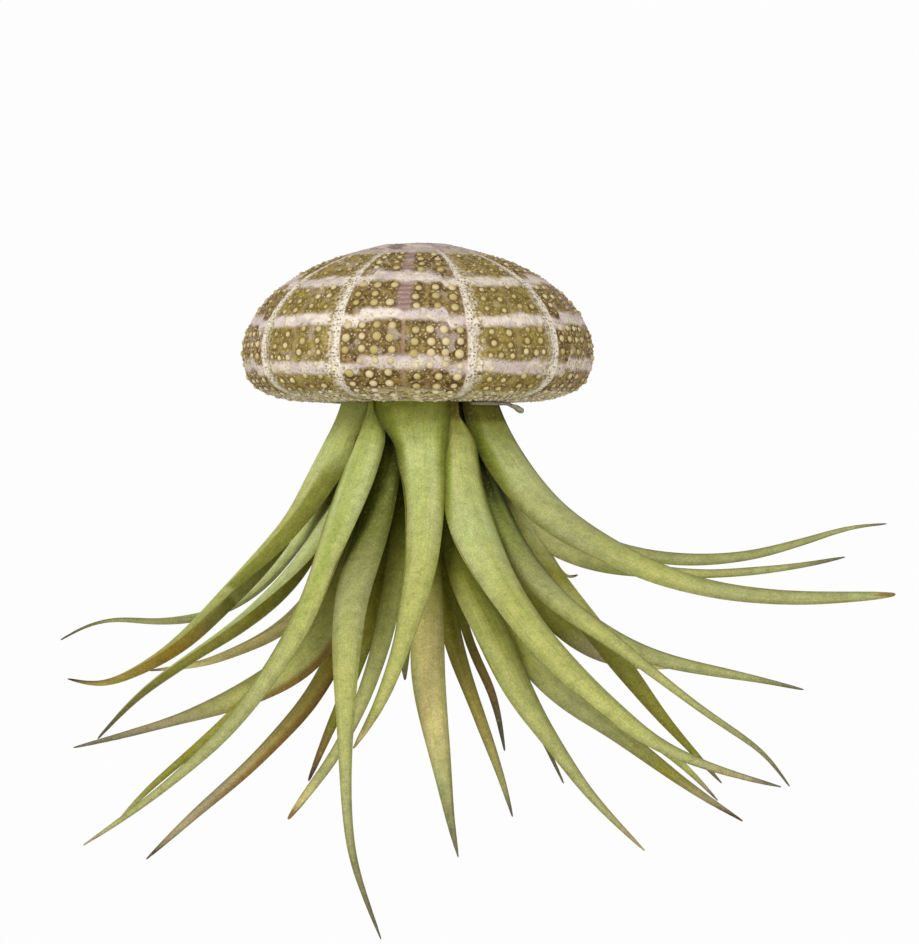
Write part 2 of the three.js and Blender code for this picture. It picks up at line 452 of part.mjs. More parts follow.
// ---------------------------------------------------------------- the plant in its shell
const plant = new THREE.Group();
plant.add(named("sea_urchin_shell", shellGeometry(), "shell"));
plant.add(named("plant_crown", crownGeometry(), "crown"));
plant.add(named("glue_film", glueGeometry(), "glue"));
for (const [name, leaf] of Object.entries(SEEN_LEAVES)) {
  plant.add(named(name, leafGeometry(leaf, true), "leaf"));
}
for (const [name, leaf] of Object.entries(BACK_LEAVES)) {
  plant.add(named(name, leafGeometry(leaf, false), "leaf"));
}

export default plant;
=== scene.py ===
# An air plant that hangs upside down from the mouth of a sea urchin shell.
# Metres, +Z up. The front of the plant looks along -Y, and the origin is the hole in the shell's top.
import math
import random
from contextlib import contextmanager

import bpy
import numpy as np
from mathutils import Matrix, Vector, kdtree, noise
from mathutils.bvhtree import BVHTree


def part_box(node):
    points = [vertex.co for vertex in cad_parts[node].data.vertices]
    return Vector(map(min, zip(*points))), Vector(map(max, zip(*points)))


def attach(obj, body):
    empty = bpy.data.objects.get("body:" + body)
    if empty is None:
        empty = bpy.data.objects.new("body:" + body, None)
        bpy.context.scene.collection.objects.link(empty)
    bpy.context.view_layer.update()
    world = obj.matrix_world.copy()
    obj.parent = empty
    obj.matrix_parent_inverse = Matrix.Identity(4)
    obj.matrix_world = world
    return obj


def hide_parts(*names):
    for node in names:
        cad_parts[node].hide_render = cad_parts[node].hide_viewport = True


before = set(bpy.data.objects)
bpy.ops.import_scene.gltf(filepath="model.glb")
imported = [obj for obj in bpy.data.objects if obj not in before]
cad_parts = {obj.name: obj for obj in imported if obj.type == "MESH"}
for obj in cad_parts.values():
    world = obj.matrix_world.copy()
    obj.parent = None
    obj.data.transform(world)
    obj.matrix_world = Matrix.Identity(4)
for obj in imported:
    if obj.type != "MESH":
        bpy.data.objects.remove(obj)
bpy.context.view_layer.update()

MM = 0.001
SAME_PLACE = 1e-6  # corners nearer than this are merged
DRAW = random.Random(7)

# ---------------------------------------------------------------- sea urchin shell
SHELL_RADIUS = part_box("sea_urchin_shell")[1].y
SHELL_WALL = 2.2 * MM
HOLE_RADIUS = 3.4 * MM
MOUTH_RADIUS = 19 * MM
MOUTH_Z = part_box("sea_urchin_shell")[0].z
MOUTH_EDGE = ((0.5, 0.8), (0, 1.8))  # the rounded edge, as millimetres in from the mouth and up
HOLE_CLEAR = 1.3  # hole radii within which the inner face has no points of its own
# Outside of the dome from the hole to the mouth, as [share of the shell's radius, millimetres of z].
DOME = [
    (0.09, 0.0), (0.175, -0.2), (0.27, -1.0), (0.435, -2.8), (0.606, -5.4), (0.776, -9.3),
    (0.908, -14.5), (0.98, -19.7), (1.0, -24.4), (0.977, -28.6), (0.926, -31.2), (0.845, -32.9),
    (0.72, -34.1), (0.5, -34.6),
]
OUTSIDE_STEP = 0.5 * MM
INSIDE_STEP = 3 * MM
SLOPE_STEP = 0.3 * MM  # over which the outside's slope is taken
SPIN_STEPS = 480
# Colour bands from the top, as [kind, millimetres of z at its lower edge, rows of plates in it].
BANDS = [
    ("crown", -2.7, 3), ("dark", -7.3, 4), ("white", -9.5, 1), ("dark", -15.5, 3), ("white", -18.0, 1),
    ("dark", -25.4, 3), ("mixed", -27.9, 1), ("dark", -32.1, 2), ("pale", -34.6, 6),
]
ROWS = sum(rows for _, _, rows in BANDS)
SMALL_TUBERCLE = 0.45 * MM  # radius up to which a tubercle gets the simpler knob
GRANULES = 6  # small tubercles round each large one
SECTORS = 5
SECTOR_CENTRE = math.radians(-4.1)  # of the wide column that faces the front
SECTOR_SWELL = 0.073  # the front columns are this share wider than the back ones
WIDE_EDGE = 0.267  # where the wide column ends, as a share of a sector from its middle
PORES_EDGE = 0.338  # where the band of pores beside it ends
# How far down the plates of a column's right half, and those of a narrow column, are set, in rows.
RIGHT_SHIFT = 0.36
NARROW_SHIFT = 0.2
# The bands are drawn lower at the ends of a wide column and in the narrow ones, by these many rows.
END_DROP = 0.6
END_DROP_FROM = 0.19  # as a share of a sector from the wide column's middle
NARROW_DROP = 0.42
# The knobs get smaller from the front round to the sides and back, by this share. The change lies
# between these azimuths, in degrees from the back.
SIDE_SHRINK = 0.28
SIDE_AZIMUTHS = (140, 112)
SINK = 0.22 * MM  # how far the dome lies below its drawn outline, so that the knobs end there
# Each colour band's tubercles: [radius in millimetres, paleness, chance that a place holds one, and the
# share of their usual radius that the granules round them have].
TUBERCLES = {
    "crown": (0.3, 0.8, 0.2, 0.5), "dark": (1.02, 0.0, 0.94, 1), "white": (0.4, 0.8, 0.35, 0.6),
    "mixed": (0.86, 0.5, 0.55, 0.75), "pale": (0.92, 0.7, 0.92, 1),
}
GRANULE_RADII = (0.15, 0.36)  # millimetres
GRANULE_ACROSS, GRANULE_DOWN = 0.52, 0.5  # how far from their knob they lie, in its places and in rows
GRANULE_PALER = 0.2
TOP_SHARE = 0.45  # of a knob's radius at the very top, which grows in full to the shell's widest ring
KNOB_ROOM = 0.4  # the largest radius a knob may have, as a share of its place
NARROW_SHARE = 0.76  # of a knob's radius in the narrow columns
# Random shifts: along a column's places, in rows, of the granules' turn, and the shares of a radius.
PHASE_JITTER, LEVEL_JITTER, TURN_JITTER, SIZE_JITTER = 0.1, 0.08, 0.3, (0.8, 1.1)
TONE_JITTER = 0.15
# Where half a wide and half a narrow column's knobs begin and end in a sector, and their spacing.
HALF_COLUMNS = ((0.018, WIDE_EDGE, 3.3 * MM), (PORES_EDGE, 0.49, 2.9 * MM))
SWELL_STEPS = 6  # enough to turn the swell of the sectors back
# Millimetres that the relief takes off along a column's middle line, its outer line, its pores and the
# joints between its plates, then the reach of each: millimetres, but a share of a row for the joints.
MIDDLE_LINE = (0.1, 0.35)
OUTER_LINE = (0.08, 0.35)
PORE_GROOVE = (0.16, 1.1)
PLATE_JOINT = (0.07, 0.1)
ZIGZAG = 0.35 * MM
ROUGHNESS = ((0.12, 160, 3.0), (0.06, 600, 5.0))  # millimetres, bumps in a metre, seed
RIM_FADE = 0.8 * MM  # over which the relief fades at the mouth's edge
MOUND = 0.22  # height of the mound under a knob, as a share of its radius
RING_SHADE_SIZE = (1.1, 0.4)  # radius and softness of the ring of painted shade round a knob, in its radii
# Where a knob's ball is cut off below, how much it is flattened, and how far the centres of the large
# and the small ones lie from the shell, in their radii.
KNOB_CUT, KNOB_HEIGHT = -0.1, 0.9
LARGE_LIFT, SMALL_LIFT = -0.3, -0.25

# ---------------------------------------------------------------- leaf shapes
# A blade section's points, as [place from margin to margin, 1 on the outer face and -1 on the inner].
SECTION = ((-1, 0), (-0.5, 1), (0, 1), (0.5, 1), (1, 0), (0.5, -1), (0, -1), (-0.5, -1))
SECTION_POINTS = len(SECTION)
TIP_ALONG = 1.02  # the tip's place along the blade, when 1 is the last section
SMOOTH_ANGLE = math.radians(50)
RIB_HEIGHT, WAVE_HEIGHT, WRINKLE_HEIGHT = 0.07, 0.16, 0.08  # millimetres
DRY_FROM = 0.85  # where along the blade its tip is dry and wrinkled
LEAF_LEVELS = 3
MARGIN_CREASE = 1.0
# Towards the mouth a leaf's margins spread into a clasping sheath, down to a height in millimetres:
# [millimetres on the margin to the left, to the right, z down to which it is whole, z where it ends].
FLARES = {
    "leaf_front_1": [(3.6, 0, -35.5, -45), (0, 2.3, -35.5, -48)],
    "leaf_front_2": [(0.9, 0.9, -58, -80)],
    "leaf_left_1": [(1.1, 1.1, -38, -58), (-2.6, -2.4, -35.5, -44)],
    "leaf_left_2": [(0.4, 4.0, -54, -80)],
    "leaf_left_3": [(3.0, 1.0, -54, -80)],
    "leaf_left_6": [(0.7, 0.7, -38, -62), (0.9, 0, -74, -92)],
    "leaf_right_1": [(0.8, 1.1, -60, -80), (0, -4.6, -35.5, -43.5)],
    "leaf_right_2": [(2.4, 0.3, -54, -72)],
    "leaf_right_4": [(1.3, 1.3, -60, -76)],
    "leaf_right_5": [(0.4, 1.5, -66, -84)],
    "leaf_right_6": [(1.3, 1.3, -64, -84)],
}
FLARE_ALONG = (0.62, 0.42)  # shares of the blade's length between which such a spread fades in
FORWARD = {"leaf_front_1": 1.0}  # how far a spread margin also comes forward, over its spread
# How far a leaf is drawn to the right, in millimetres, from where across it on, and the heights at which
# that starts, is whole, fades and ends.
DRAWN = {
    "leaf_left_2": (1.7, 0.1, -42, -50, -64, -76),
    "leaf_left_3": (-0.45, -2, -46, -56, -70, -84),
    "leaf_left_4": (-0.75, -2, -46, -56, -68, -80),
}
DRAWN_BLEND = 0.9  # over how much of the half width it comes in
SHEATH_HALF = 3.4 * MM  # what the other leaves' half widths grow to in the mouth
SHEATH_TOP = -38  # and down to where
SHEATH_END = -62
SHADE_RAYS = 26  # cast from each corner of a blade to find how buried it is among the others, for its painted shade
SHADE_START = 0.4  # millimetres off the blade
SHADE_REACH = 28 * MM


# ---------------------------------------------------------------- small helpers
def srgb(red, green, blue):
    """A colour given as it looks on a screen, from 0 to 255, as the linear colour that a surface has."""
    def linear(value):
        share = value / 255
        return share / 12.92 if share <= 0.04045 else ((share + 0.055) / 1.055) ** 2.4
    return (linear(red), linear(green), linear(blue), 1.0)


def smooth(low, high, value):
    """0 where value is low, 1 where it is high, and smooth between, whichever of the two is larger."""
    share = np.clip((np.asarray(value) - low) / (high - low), 0, 1)
    return share * share * (3 - 2 * share)


def window(value, start, full, fade, end):
    """A smooth rise from 0 at start to 1 at full, and from fade a fall to 0 at end."""
    return smooth(start, full, value) * smooth(end, fade, value)


def only(piece):
    """Makes a piece the one object that is selected and active."""
    bpy.ops.object.select_all(action="DESELECT")
    piece.select_set(True)
    bpy.context.view_layer.objects.active = piece


@contextmanager
def editing(selected="SELECT"):
    """Edit mode on the active piece, with all of it selected or nothing."""
    bpy.ops.object.mode_set(mode="EDIT")
    bpy.ops.mesh.select_all(action=selected)
    yield
    bpy.ops.object.mode_set(mode="OBJECT")


def placed(name, data):
    """A new object in the scene."""
    thing = bpy.data.objects.new(name, data)
    bpy.context.scene.collection.objects.link(thing)
    return thing


def new_piece(name, vertices, edges, faces):
    mesh = bpy.data.meshes.new(name)
    mesh.from_pydata(vertices, edges, faces)
    piece = placed(name, mesh)
    only(piece)
    return piece


def merged_copy(node, name):
    """A CAD node's mesh as a new piece, with its doubled corners merged."""
    piece = placed(name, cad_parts[node].data.copy())
    only(piece)
    with editing():
        bpy.ops.mesh.remove_doubles(threshold=SAME_PLACE)
    return piece


def finished(piece, name, material, *nodes, slot):
    """Gives a piece its name and material, hangs it from the root and hides the CAD nodes that it replaces.
    """
    piece.name = name
    piece.data.materials.clear()
    piece.data.materials.append(material)
    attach(piece, "root")
    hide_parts(*nodes)


def smoothed(piece):
    only(piece)
    bpy.ops.object.shade_smooth()
    return piece


def apply_modifier(piece, kind, **settings):
    only(piece)
    modifier = piece.modifiers.new(kind.title(), kind)
    for name, value in settings.items():
        setattr(modifier, name, value)
    bpy.ops.object.modifier_apply(modifier=modifier.name)


def read(rows, field, width=1):
    """A field of all of a mesh's rows as an array."""
    flat = np.empty(len(rows) * width, np.float32)
    rows.foreach_get(field, flat)
    return (flat.reshape(-1, width) if width > 1 else flat).astype(float)


def places(mesh):
    return read(mesh.vertices, "co", 3)


def directions(mesh):
    return read(mesh.vertex_normals, "vector", 3)


def move_to(mesh, points):
    mesh.vertices.foreach_set("co", np.asarray(points, np.float32).ravel())
    mesh.update()


def store(mesh, **fields):
    """Keeps numbers or colours for the vertices, which a material reads by their names."""
    for name, values in fields.items():
        values = np.asarray(values, np.float32)
        kind, field = ("FLOAT_COLOR", "color") if values.ndim > 1 else ("FLOAT", "value")
        mesh.attributes.new(name, kind, "POINT").data.foreach_set(field, values.ravel())


def kept(mesh, *names):
    return [read(mesh.attributes[name].data, "value") for name in names]


def rough(points, scale, seed):
    """Smooth random numbers between about -1 and 1 at points, with bumps about 1 / scale apart."""
    shift = Vector((seed, seed * 1.7, seed * 2.3))
    return np.array([noise.noise(Vector(point) * scale + shift) for point in points])


# ---------------------------------------------------------------- shader patterns
class Finish:
    """A new material, with short calls for the nodes of its pattern."""

    def __init__(self, name):
        self.material = bpy.data.materials.new(name)
        self.material.use_nodes = True
        self.tree = self.material.node_tree
        self.surface = self.tree.nodes["Principled BSDF"]
        self.place = self.new("ShaderNodeTexCoord", "Object")

    def new(self, kind, output, inputs=None, **settings):
        """An output of a new node, after values or other outputs are put into its inputs."""
        node = self.tree.nodes.new(kind)
        for name, value in settings.items():
            setattr(node, name, value)
        for name, value in (inputs or {}).items():
            self.put(value, node.inputs[name])
        return node.outputs if output is None else node.outputs[output]

    def put(self, value, socket):
        if isinstance(value, bpy.types.NodeSocket):
            self.tree.links.new(value, socket)
        elif isinstance(value, (int, float)) and socket.type == "RGBA":
            socket.default_value = (value, value, value, 1)
        else:
            socket.default_value = value

    def set(self, **values):
        """Sets sockets of the surface shader, such as base_color for Base Color."""
        for name, value in values.items():
            title = " ".join(word.capitalize() for word in name.split("_"))
            self.put(value, self.surface.inputs[title.replace("Ior", "IOR")])

    def attribute(self, name, output="Fac"):
        return self.new("ShaderNodeAttribute", output, attribute_name=name)

    def math(self, operation, *values):
        return self.new("ShaderNodeMath", 0, dict(enumerate(values)), operation=operation)

    def times(self, first, second):
        return self.math("MULTIPLY", first, second)

    def plus(self, first, second):
        return self.math("ADD", first, second)

    def minus(self, first, second):
        return self.math("SUBTRACT", first, second)

    def scaled(self, value, factor, shift):
        return self.math("MULTIPLY_ADD", value, factor, shift)

    def stretched(self, vector, *factors):
        return self.new("ShaderNodeVectorMath", 0, {0: vector, 1: factors}, operation="MULTIPLY")

    def axes(self, vector):
        return self.new("ShaderNodeSeparateXYZ", None, {0: vector})

    def point(self, *axes):
        return self.new("ShaderNodeCombineXYZ", 0, dict(enumerate(axes)))

    def noise(self, scale, detail=2.0, roughness=0.5, vector=None):
        return self.new("ShaderNodeTexNoise", "Fac", {
            "Vector": vector or self.place, "Scale": scale, "Detail": detail, "Roughness": roughness})

    def cells(self, scale, randomness=1.0, vector=None, feature="F1"):
        return self.new("ShaderNodeTexVoronoi", "Distance", {
            "Vector": vector or self.place, "Scale": scale, "Randomness": randomness}, feature=feature)

    def rise(self, value, low, high):
        """0 where value is low and 1 where it is high, whichever of the two is larger."""
        return self.new("ShaderNodeMapRange", "Result", {
            "Value": value, "From Min": low, "From Max": high}, interpolation_type="SMOOTHSTEP")

    def patches(self, low, high, scale, detail=2.0, roughness=0.5):
        """Soft-edged random patches: 0 where noise of a scale is low and 1 where it is high."""
        return self.rise(self.noise(scale, detail, roughness), low, high)

    def ramp(self, value, stops):
        """A colour or grey for each value, from [value, colour or grey] stops."""
        node = self.tree.nodes.new("ShaderNodeValToRGB")
        elements = node.color_ramp.elements
        while len(elements) < len(stops):
            elements.new(1.0)
        for element, (position, colour) in zip(elements, stops):
            element.position = position
            element.color = (colour,) * 3 + (1,) if isinstance(colour, (int, float)) else colour
        self.put(value, node.inputs["Fac"])
        return node.outputs["Color"]

    def mix(self, share, first, second, strength=1.0, blend="MIX"):
        """The first colour where share is 0, and at most strength of the second where it is 1."""
        share = share if strength == 1 else self.times(share, strength)
        return self.new("ShaderNodeMix", 2, {0: share, 6: first, 7: second},
                        data_type="RGBA", blend_type=blend)

    def dim(self, share, colour, left, strength=1.0):
        """Multiplies a colour by what is left of it, where share is 1."""
        return self.mix(share, colour, left, strength, "MULTIPLY")

    def bump(self, height, depth, strength=1.0):
        normal = self.new("ShaderNodeBump", "Normal", {
            "Height": height, "Distance": depth, "Strength": strength})
        self.put(normal, self.surface.inputs["Normal"])


# ---------------------------------------------------------------- shell shape
def smooth_line(points, step):
    """Points about one step apart on a smooth curve through the given ones."""
    points = [np.asarray(point, float) for point in points]
    ends = [2 * points[0] - points[1]] + points + [2 * points[-1] - points[-2]]
    line = []
    for a, b, c, d in zip(ends, ends[1:], ends[2:], ends[3:]):
        count = max(1, round(np.linalg.norm(c - b) / step))
        for i in range(count):
            t = i / count
            line.append(0.5 * (2 * b + (c - a) * t + (2 * a - 5 * b + 4 * c - d) * t ** 2
                               + (3 * b - a - 3 * c + d) * t ** 3))
    return np.array(line + [points[-1]])


def travel_along(line):
    return np.concatenate([[0], np.cumsum(np.linalg.norm(np.diff(line, axis=0), axis=1))])


OUTSIDE = smooth_line([(share * SHELL_RADIUS, z * MM) for share, z in DOME], OUTSIDE_STEP)
TRAVEL = travel_along(OUTSIDE)
# The distance from the hole at which each band of colour ends, and the rows of plates down to there.
BAND_TRAVEL = [0.0] + [float(np.interp(-z * MM, -OUTSIDE[:, 1], TRAVEL)) for _, z, _ in BANDS]
BAND_ROWS = list(np.cumsum([0] + [rows for _, _, rows in BANDS]))


def travel_at(row):
    """The distance from the hole down to a row of plates."""
    return np.interp(row, BAND_ROWS, BAND_TRAVEL)


def wall_inside():
    """The inner face of the shell's wall, from the mouth back to the hole."""
    tangent = np.gradient(OUTSIDE, axis=0)
    tangent /= np.linalg.norm(tangent, axis=1)[:, None]
    inside = OUTSIDE + SHELL_WALL * np.stack([tangent[:, 1], -tangent[:, 0]], axis=1)
    inside[:, 0] = np.maximum(inside[:, 0], HOLE_RADIUS)
    keep = (inside[:, 0] > HOLE_RADIUS * HOLE_CLEAR) & (TRAVEL < TRAVEL[-1] - SHELL_WALL)
    kept_points = inside[keep][::-int(INSIDE_STEP / OUTSIDE_STEP)]
    mouth_edge = [(MOUTH_RADIUS - inward * MM, MOUTH_Z + up * MM) for inward, up in MOUTH_EDGE]
    return np.array(mouth_edge + list(kept_points) + [(HOLE_RADIUS, -SHELL_WALL)])


def sector_phase(azimuth):
    """Where an azimuth from the front lies in its sector, from -0.5 to 0.5: 0 is in the wide column."""
    turned = azimuth - SECTOR_CENTRE
    turned = turned - SECTOR_SWELL * np.sin(turned)
    return (turned * SECTORS / (2 * math.pi) + 0.5) % 1 - 0.5


def sector_azimuth(sector, phase):
    wanted = (sector + phase) * 2 * math.pi / SECTORS
    turned = wanted
    for _ in range(SWELL_STEPS):
        turned = wanted + SECTOR_SWELL * math.sin(turned)
    return turned + SECTOR_CENTRE


def row_shift(phase):
    """How far down a column's plates are set against those of the wide column's left half, in rows."""
    return RIGHT_SHIFT * (phase > 0) + NARROW_SHIFT * (abs(phase) > WIDE_EDGE)


def shell_dome():
    """The wall, spun round the axis. Its points repeat in each run, but the spin's order of faces varies."""
    profile = [(r, z) for r, z in OUTSIDE] + [tuple(point) for point in wall_inside()]
    count = len(profile)
    edges = [(i, (i + 1) % count) for i in range(count)]
    piece = new_piece("dome", [(0, -r, z) for r, z in profile], edges, [])
    outside = [1.0] * len(OUTSIDE) + [0.0] * (count - len(OUTSIDE))
    reach = list(TRAVEL) + [TRAVEL[-1]] * (count - len(OUTSIDE))
    store(piece.data, outside=outside, row=np.interp(reach, BAND_TRAVEL, BAND_ROWS))
    with editing():
        bpy.ops.mesh.spin(steps=SPIN_STEPS, angle=2 * math.pi, center=(0, 0, 0), axis=(0, 0, 1))
        bpy.ops.mesh.select_all(action="SELECT")
        bpy.ops.mesh.remove_doubles(threshold=SAME_PLACE)
        bpy.ops.mesh.normals_make_consistent(inside=False)
    return piece


def tubercle_places():
    """Each tubercle as [azimuth, row, radius, paleness]: large in the dark bands, small in the pale."""
    kinds = [kind for kind, _, rows in BANDS for _ in range(rows)]
    found = []
    for sector in range(SECTORS):
        for row in range(1, ROWS):
            kind = kinds[row]
            ring = float(np.interp(travel_at(row + 0.5), TRAVEL, OUTSIDE[:, 0]))
            for side in (-1, 1):
                for start, end, spacing in HALF_COLUMNS:
                    found += column_row(sector, row, kind, ring, side * start, side * end, spacing)
    return found


def column_row(sector, row, kind, ring, start, end, spacing):
    """One row of tubercles across half a column."""
    width = abs(end - start) * ring * 2 * math.pi / SECTORS
    count = max(1, round(width / spacing))
    size, pale, chance, fineness = TUBERCLES[kind]
    size *= MM
    size *= TOP_SHARE + (1 - TOP_SHARE) * ring / SHELL_RADIUS
    size = min(size, KNOB_ROOM * width / count)
    found = []
    for i in range(count):
        phase = start + (end - start) * (i + 0.5 + DRAW.uniform(-PHASE_JITTER, PHASE_JITTER)) / count
        level = row + 0.5 + row_shift(phase) + DRAW.uniform(-LEVEL_JITTER, LEVEL_JITTER)
        azimuth = sector_azimuth(sector, phase)
        radius = size * DRAW.uniform(*SIZE_JITTER) * (NARROW_SHARE if abs(phase) > WIDE_EDGE else 1)
        from_back = abs(math.degrees(azimuth) % 360 - 180)
        radius *= 1 - SIDE_SHRINK * float(smooth(*SIDE_AZIMUTHS, from_back))
        if DRAW.random() < chance:
            found.append((azimuth, level, radius, pale))
        for turn in range(GRANULES):
            angle = 2 * math.pi * (turn + DRAW.uniform(-TURN_JITTER, TURN_JITTER)) / GRANULES
            small_phase = phase + (end - start) / count * GRANULE_ACROSS * math.cos(angle)
            small_level = level + GRANULE_DOWN * math.sin(angle)
            small = MM * DRAW.uniform(*GRANULE_RADII) * fineness
            if abs(small_phase - (start + end) / 2) < abs(end - start) / 2 and small_level < ROWS:
                azimuth = sector_azimuth(sector, small_phase)
                found.append((azimuth, small_level, small, pale + GRANULE_PALER))
    return found


def on_dome(azimuth, row):
    """The point on the shell's outside at an azimuth and a row, with its outward direction."""
    travel = travel_at(row)
    (ring, z), (ring_on, z_on) = (
        [float(np.interp(at, TRAVEL, OUTSIDE[:, k])) for k in (0, 1)]
        for at in (travel, travel + SLOPE_STEP))
    out = Vector((-(z_on - z), 0, ring_on - ring)).normalized()
    forward = Vector((math.sin(azimuth), -math.cos(azimuth), 0))
    point = forward * ring + Vector((0, 0, z))
    return point, (forward * out.x + Vector((0, 0, out.z))).normalized()


def groove(distance, depth, reach):
    return depth * np.exp(-(distance / reach) ** 2)


def relief(piece, bosses):
    """Raises the plates, the bosses under the tubercles and sinks the lines between the columns."""
    mesh = piece.data
    points, outward = places(mesh), directions(mesh)
    row, outside = kept(mesh, "row", "outside")
    azimuth = np.arctan2(points[:, 0], -points[:, 1])
    phase = sector_phase(azimuth)
    column = np.hypot(points[:, 0], points[:, 1]) * 2 * math.pi / SECTORS
    plate = (row - row_shift(phase)) % 1
    zigzag = ZIGZAG * np.abs(2 * (row % 1) - 1)
    middle = np.abs(phase) * column
    between = (0.5 - np.abs(phase)) * column
    pores = np.abs(np.abs(phase) - (WIDE_EDGE + PORES_EDGE) / 2) * column
    lift = -groove((middle - zigzag) / MM, *MIDDLE_LINE)
    lift -= groove((between - zigzag) / MM, *OUTER_LINE)
    lift -= groove(pores / MM, *PORE_GROOVE)
    lift -= groove(np.minimum(plate, 1 - plate), *PLATE_JOINT) * (row > 2)
    for height, scale, seed in ROUGHNESS:
        lift += height * rough(points, scale, seed)
    lift = (lift * MM - SINK) * outside
    lift *= smooth(0, RIM_FADE, TRAVEL[-1] - travel_at(row))
    mounds, halo = boss_marks(points, bosses)
    # the rings of painted shade round the knobs, for the material
    store(mesh, halo=halo)
    move_to(mesh, points + outward * (lift + outside * mounds)[:, None])


def boss_marks(points, bosses):
    """How far low mounds under the tubercles raise each point, and the rings of painted shade round them."""
    tree = kdtree.KDTree(len(points))
    for index, point in enumerate(points):
        tree.insert(point, index)
    tree.balance()
    lift, halo = np.zeros(len(points)), np.zeros(len(points))
    for centre, radius in bosses:
        for _, index, distance in tree.find_range(centre, radius * 2):
            share = distance / radius
            lift[index] = max(lift[index], MOUND * radius * math.exp(-share ** 2))
            halo[index] = max(halo[index], math.exp(-((share - RING_SHADE_SIZE[0]) / RING_SHADE_SIZE[1]) ** 2))
    return lift, halo


def boss_shapes():
    """A large and a small tubercle, each a round knob cut off below, of radius 1."""
    shapes = []
    for levels in (2, 1):
        bpy.ops.object.select_all(action="DESELECT")
        bpy.ops.mesh.primitive_ico_sphere_add(subdivisions=levels, radius=1)
        knob = bpy.context.active_object
        with editing():
            bpy.ops.mesh.bisect(plane_co=(0, 0, KNOB_CUT), plane_no=(0, 0, 1), clear_inner=True)
            bpy.ops.mesh.select_all(action="SELECT")
            bpy.ops.transform.resize(value=(1, 1, KNOB_HEIGHT))
            bpy.ops.mesh.quads_convert_to_tris()
        faces = np.array([face.vertices[:] for face in knob.data.polygons])
        shapes.append((places(knob.data), faces))
        bpy.data.objects.remove(knob)
    return shapes


def knob_piece(name, tubercles, shape, faces, lift):
    """Tubercles of one kind as one piece, each set on the dome and turned to face out."""
    points, corners, tones, tops = [], [], [], []
    for azimuth, row, radius, pale in tubercles:
        centre, outward = on_dome(azimuth, row)
        turn = np.array(outward.to_track_quat("Z", "Y").to_matrix())
        corners.append(faces + len(shape) * len(points))
        points.append(shape @ turn.T * radius + np.array(centre + outward * (radius * lift - SINK)))
        tones.append(np.full(len(shape), pale + DRAW.uniform(-TONE_JITTER, TONE_JITTER)))
        tops.append(shape[:, 2])
    piece = new_piece(name, np.concatenate(points).tolist(), [], np.concatenate(corners).tolist())
    store(piece.data, pale=np.concatenate(tones), top=np.concatenate(tops))
    return smoothed(piece)


# ---------------------------------------------------------------- shell materials
PLATE_DARK = srgb(84, 60, 22)
PLATE_OLIVE = srgb(150, 124, 72)
PLATE_GREEN = srgb(156, 138, 60)
PLATE_PURPLE = srgb(146, 108, 108)
GRANULE = srgb(160, 138, 88)
BAND_LILAC = srgb(210, 194, 190)
BAND_BEIGE = srgb(232, 219, 200)
BAND_STAIN = srgb(196, 180, 152)
SPECK_GREY = srgb(158, 144, 138)
LINE_PINK = srgb(176, 146, 124)
PORE_WHITE = srgb(238, 226, 210)
PORE_GROUND = srgb(204, 186, 148)
PORE_DARK = srgb(104, 82, 50)
RIM_KHAKI = srgb(214, 198, 142)
DISC_PALE = srgb(212, 196, 184)
DISC_GREY = srgb(78, 66, 62)
DISC_STAIN = srgb(124, 106, 94)
KNOB_OLIVE = srgb(180, 162, 98)
KNOB_CREAM = srgb(212, 194, 148)
KNOB_PALE = srgb(228, 212, 182)


def band_paleness(finish, row):
    """1 in the shell's white bands and 0 in its dark ones, with wavering edges."""
    heights = {"crown": 0.6, "dark": 0.0, "white": 1.0, "mixed": 0.9, "pale": 0.1}
    stops, blur = [], 0.16 / ROWS
    for (kind, _, _), top, bottom in zip(BANDS, BAND_ROWS, BAND_ROWS[1:]):
        stops.append((min(1, top / ROWS + blur), heights[kind]))
        stops.append((min(1, bottom / ROWS - blur), heights[kind]))
    slow = finish.scaled(finish.noise(150, 1), 0.8, -0.4)
    waver = finish.plus(slow, finish.scaled(finish.noise(520, 2), 0.6, -0.3))
    level = finish.math("DIVIDE", finish.plus(row, waver), float(ROWS))
    patches = finish.ramp(finish.patches(0.3, 0.55, 330, 3, 0.6), [(0, 0.72), (1, 1.0)])
    return finish.times(finish.axes(finish.ramp(level, stops))[0], finish.axes(patches)[0])


def phase_in(finish):
    """The place across a sector at each point, as sector_phase gives it."""
    x, y, _ = finish.axes(finish.place)
    azimuth = finish.math("ARCTAN2", x, finish.times(y, -1.0))
    turned = finish.minus(azimuth, SECTOR_CENTRE)
    swollen = finish.times(finish.math("SINE", turned), SECTOR_SWELL)
    turned = finish.minus(turned, swollen)
    share = finish.scaled(turned, SECTORS / (2 * math.pi), 0.5)
    return finish.minus(finish.math("FRACT", finish.plus(share, 10.0)), 0.5)


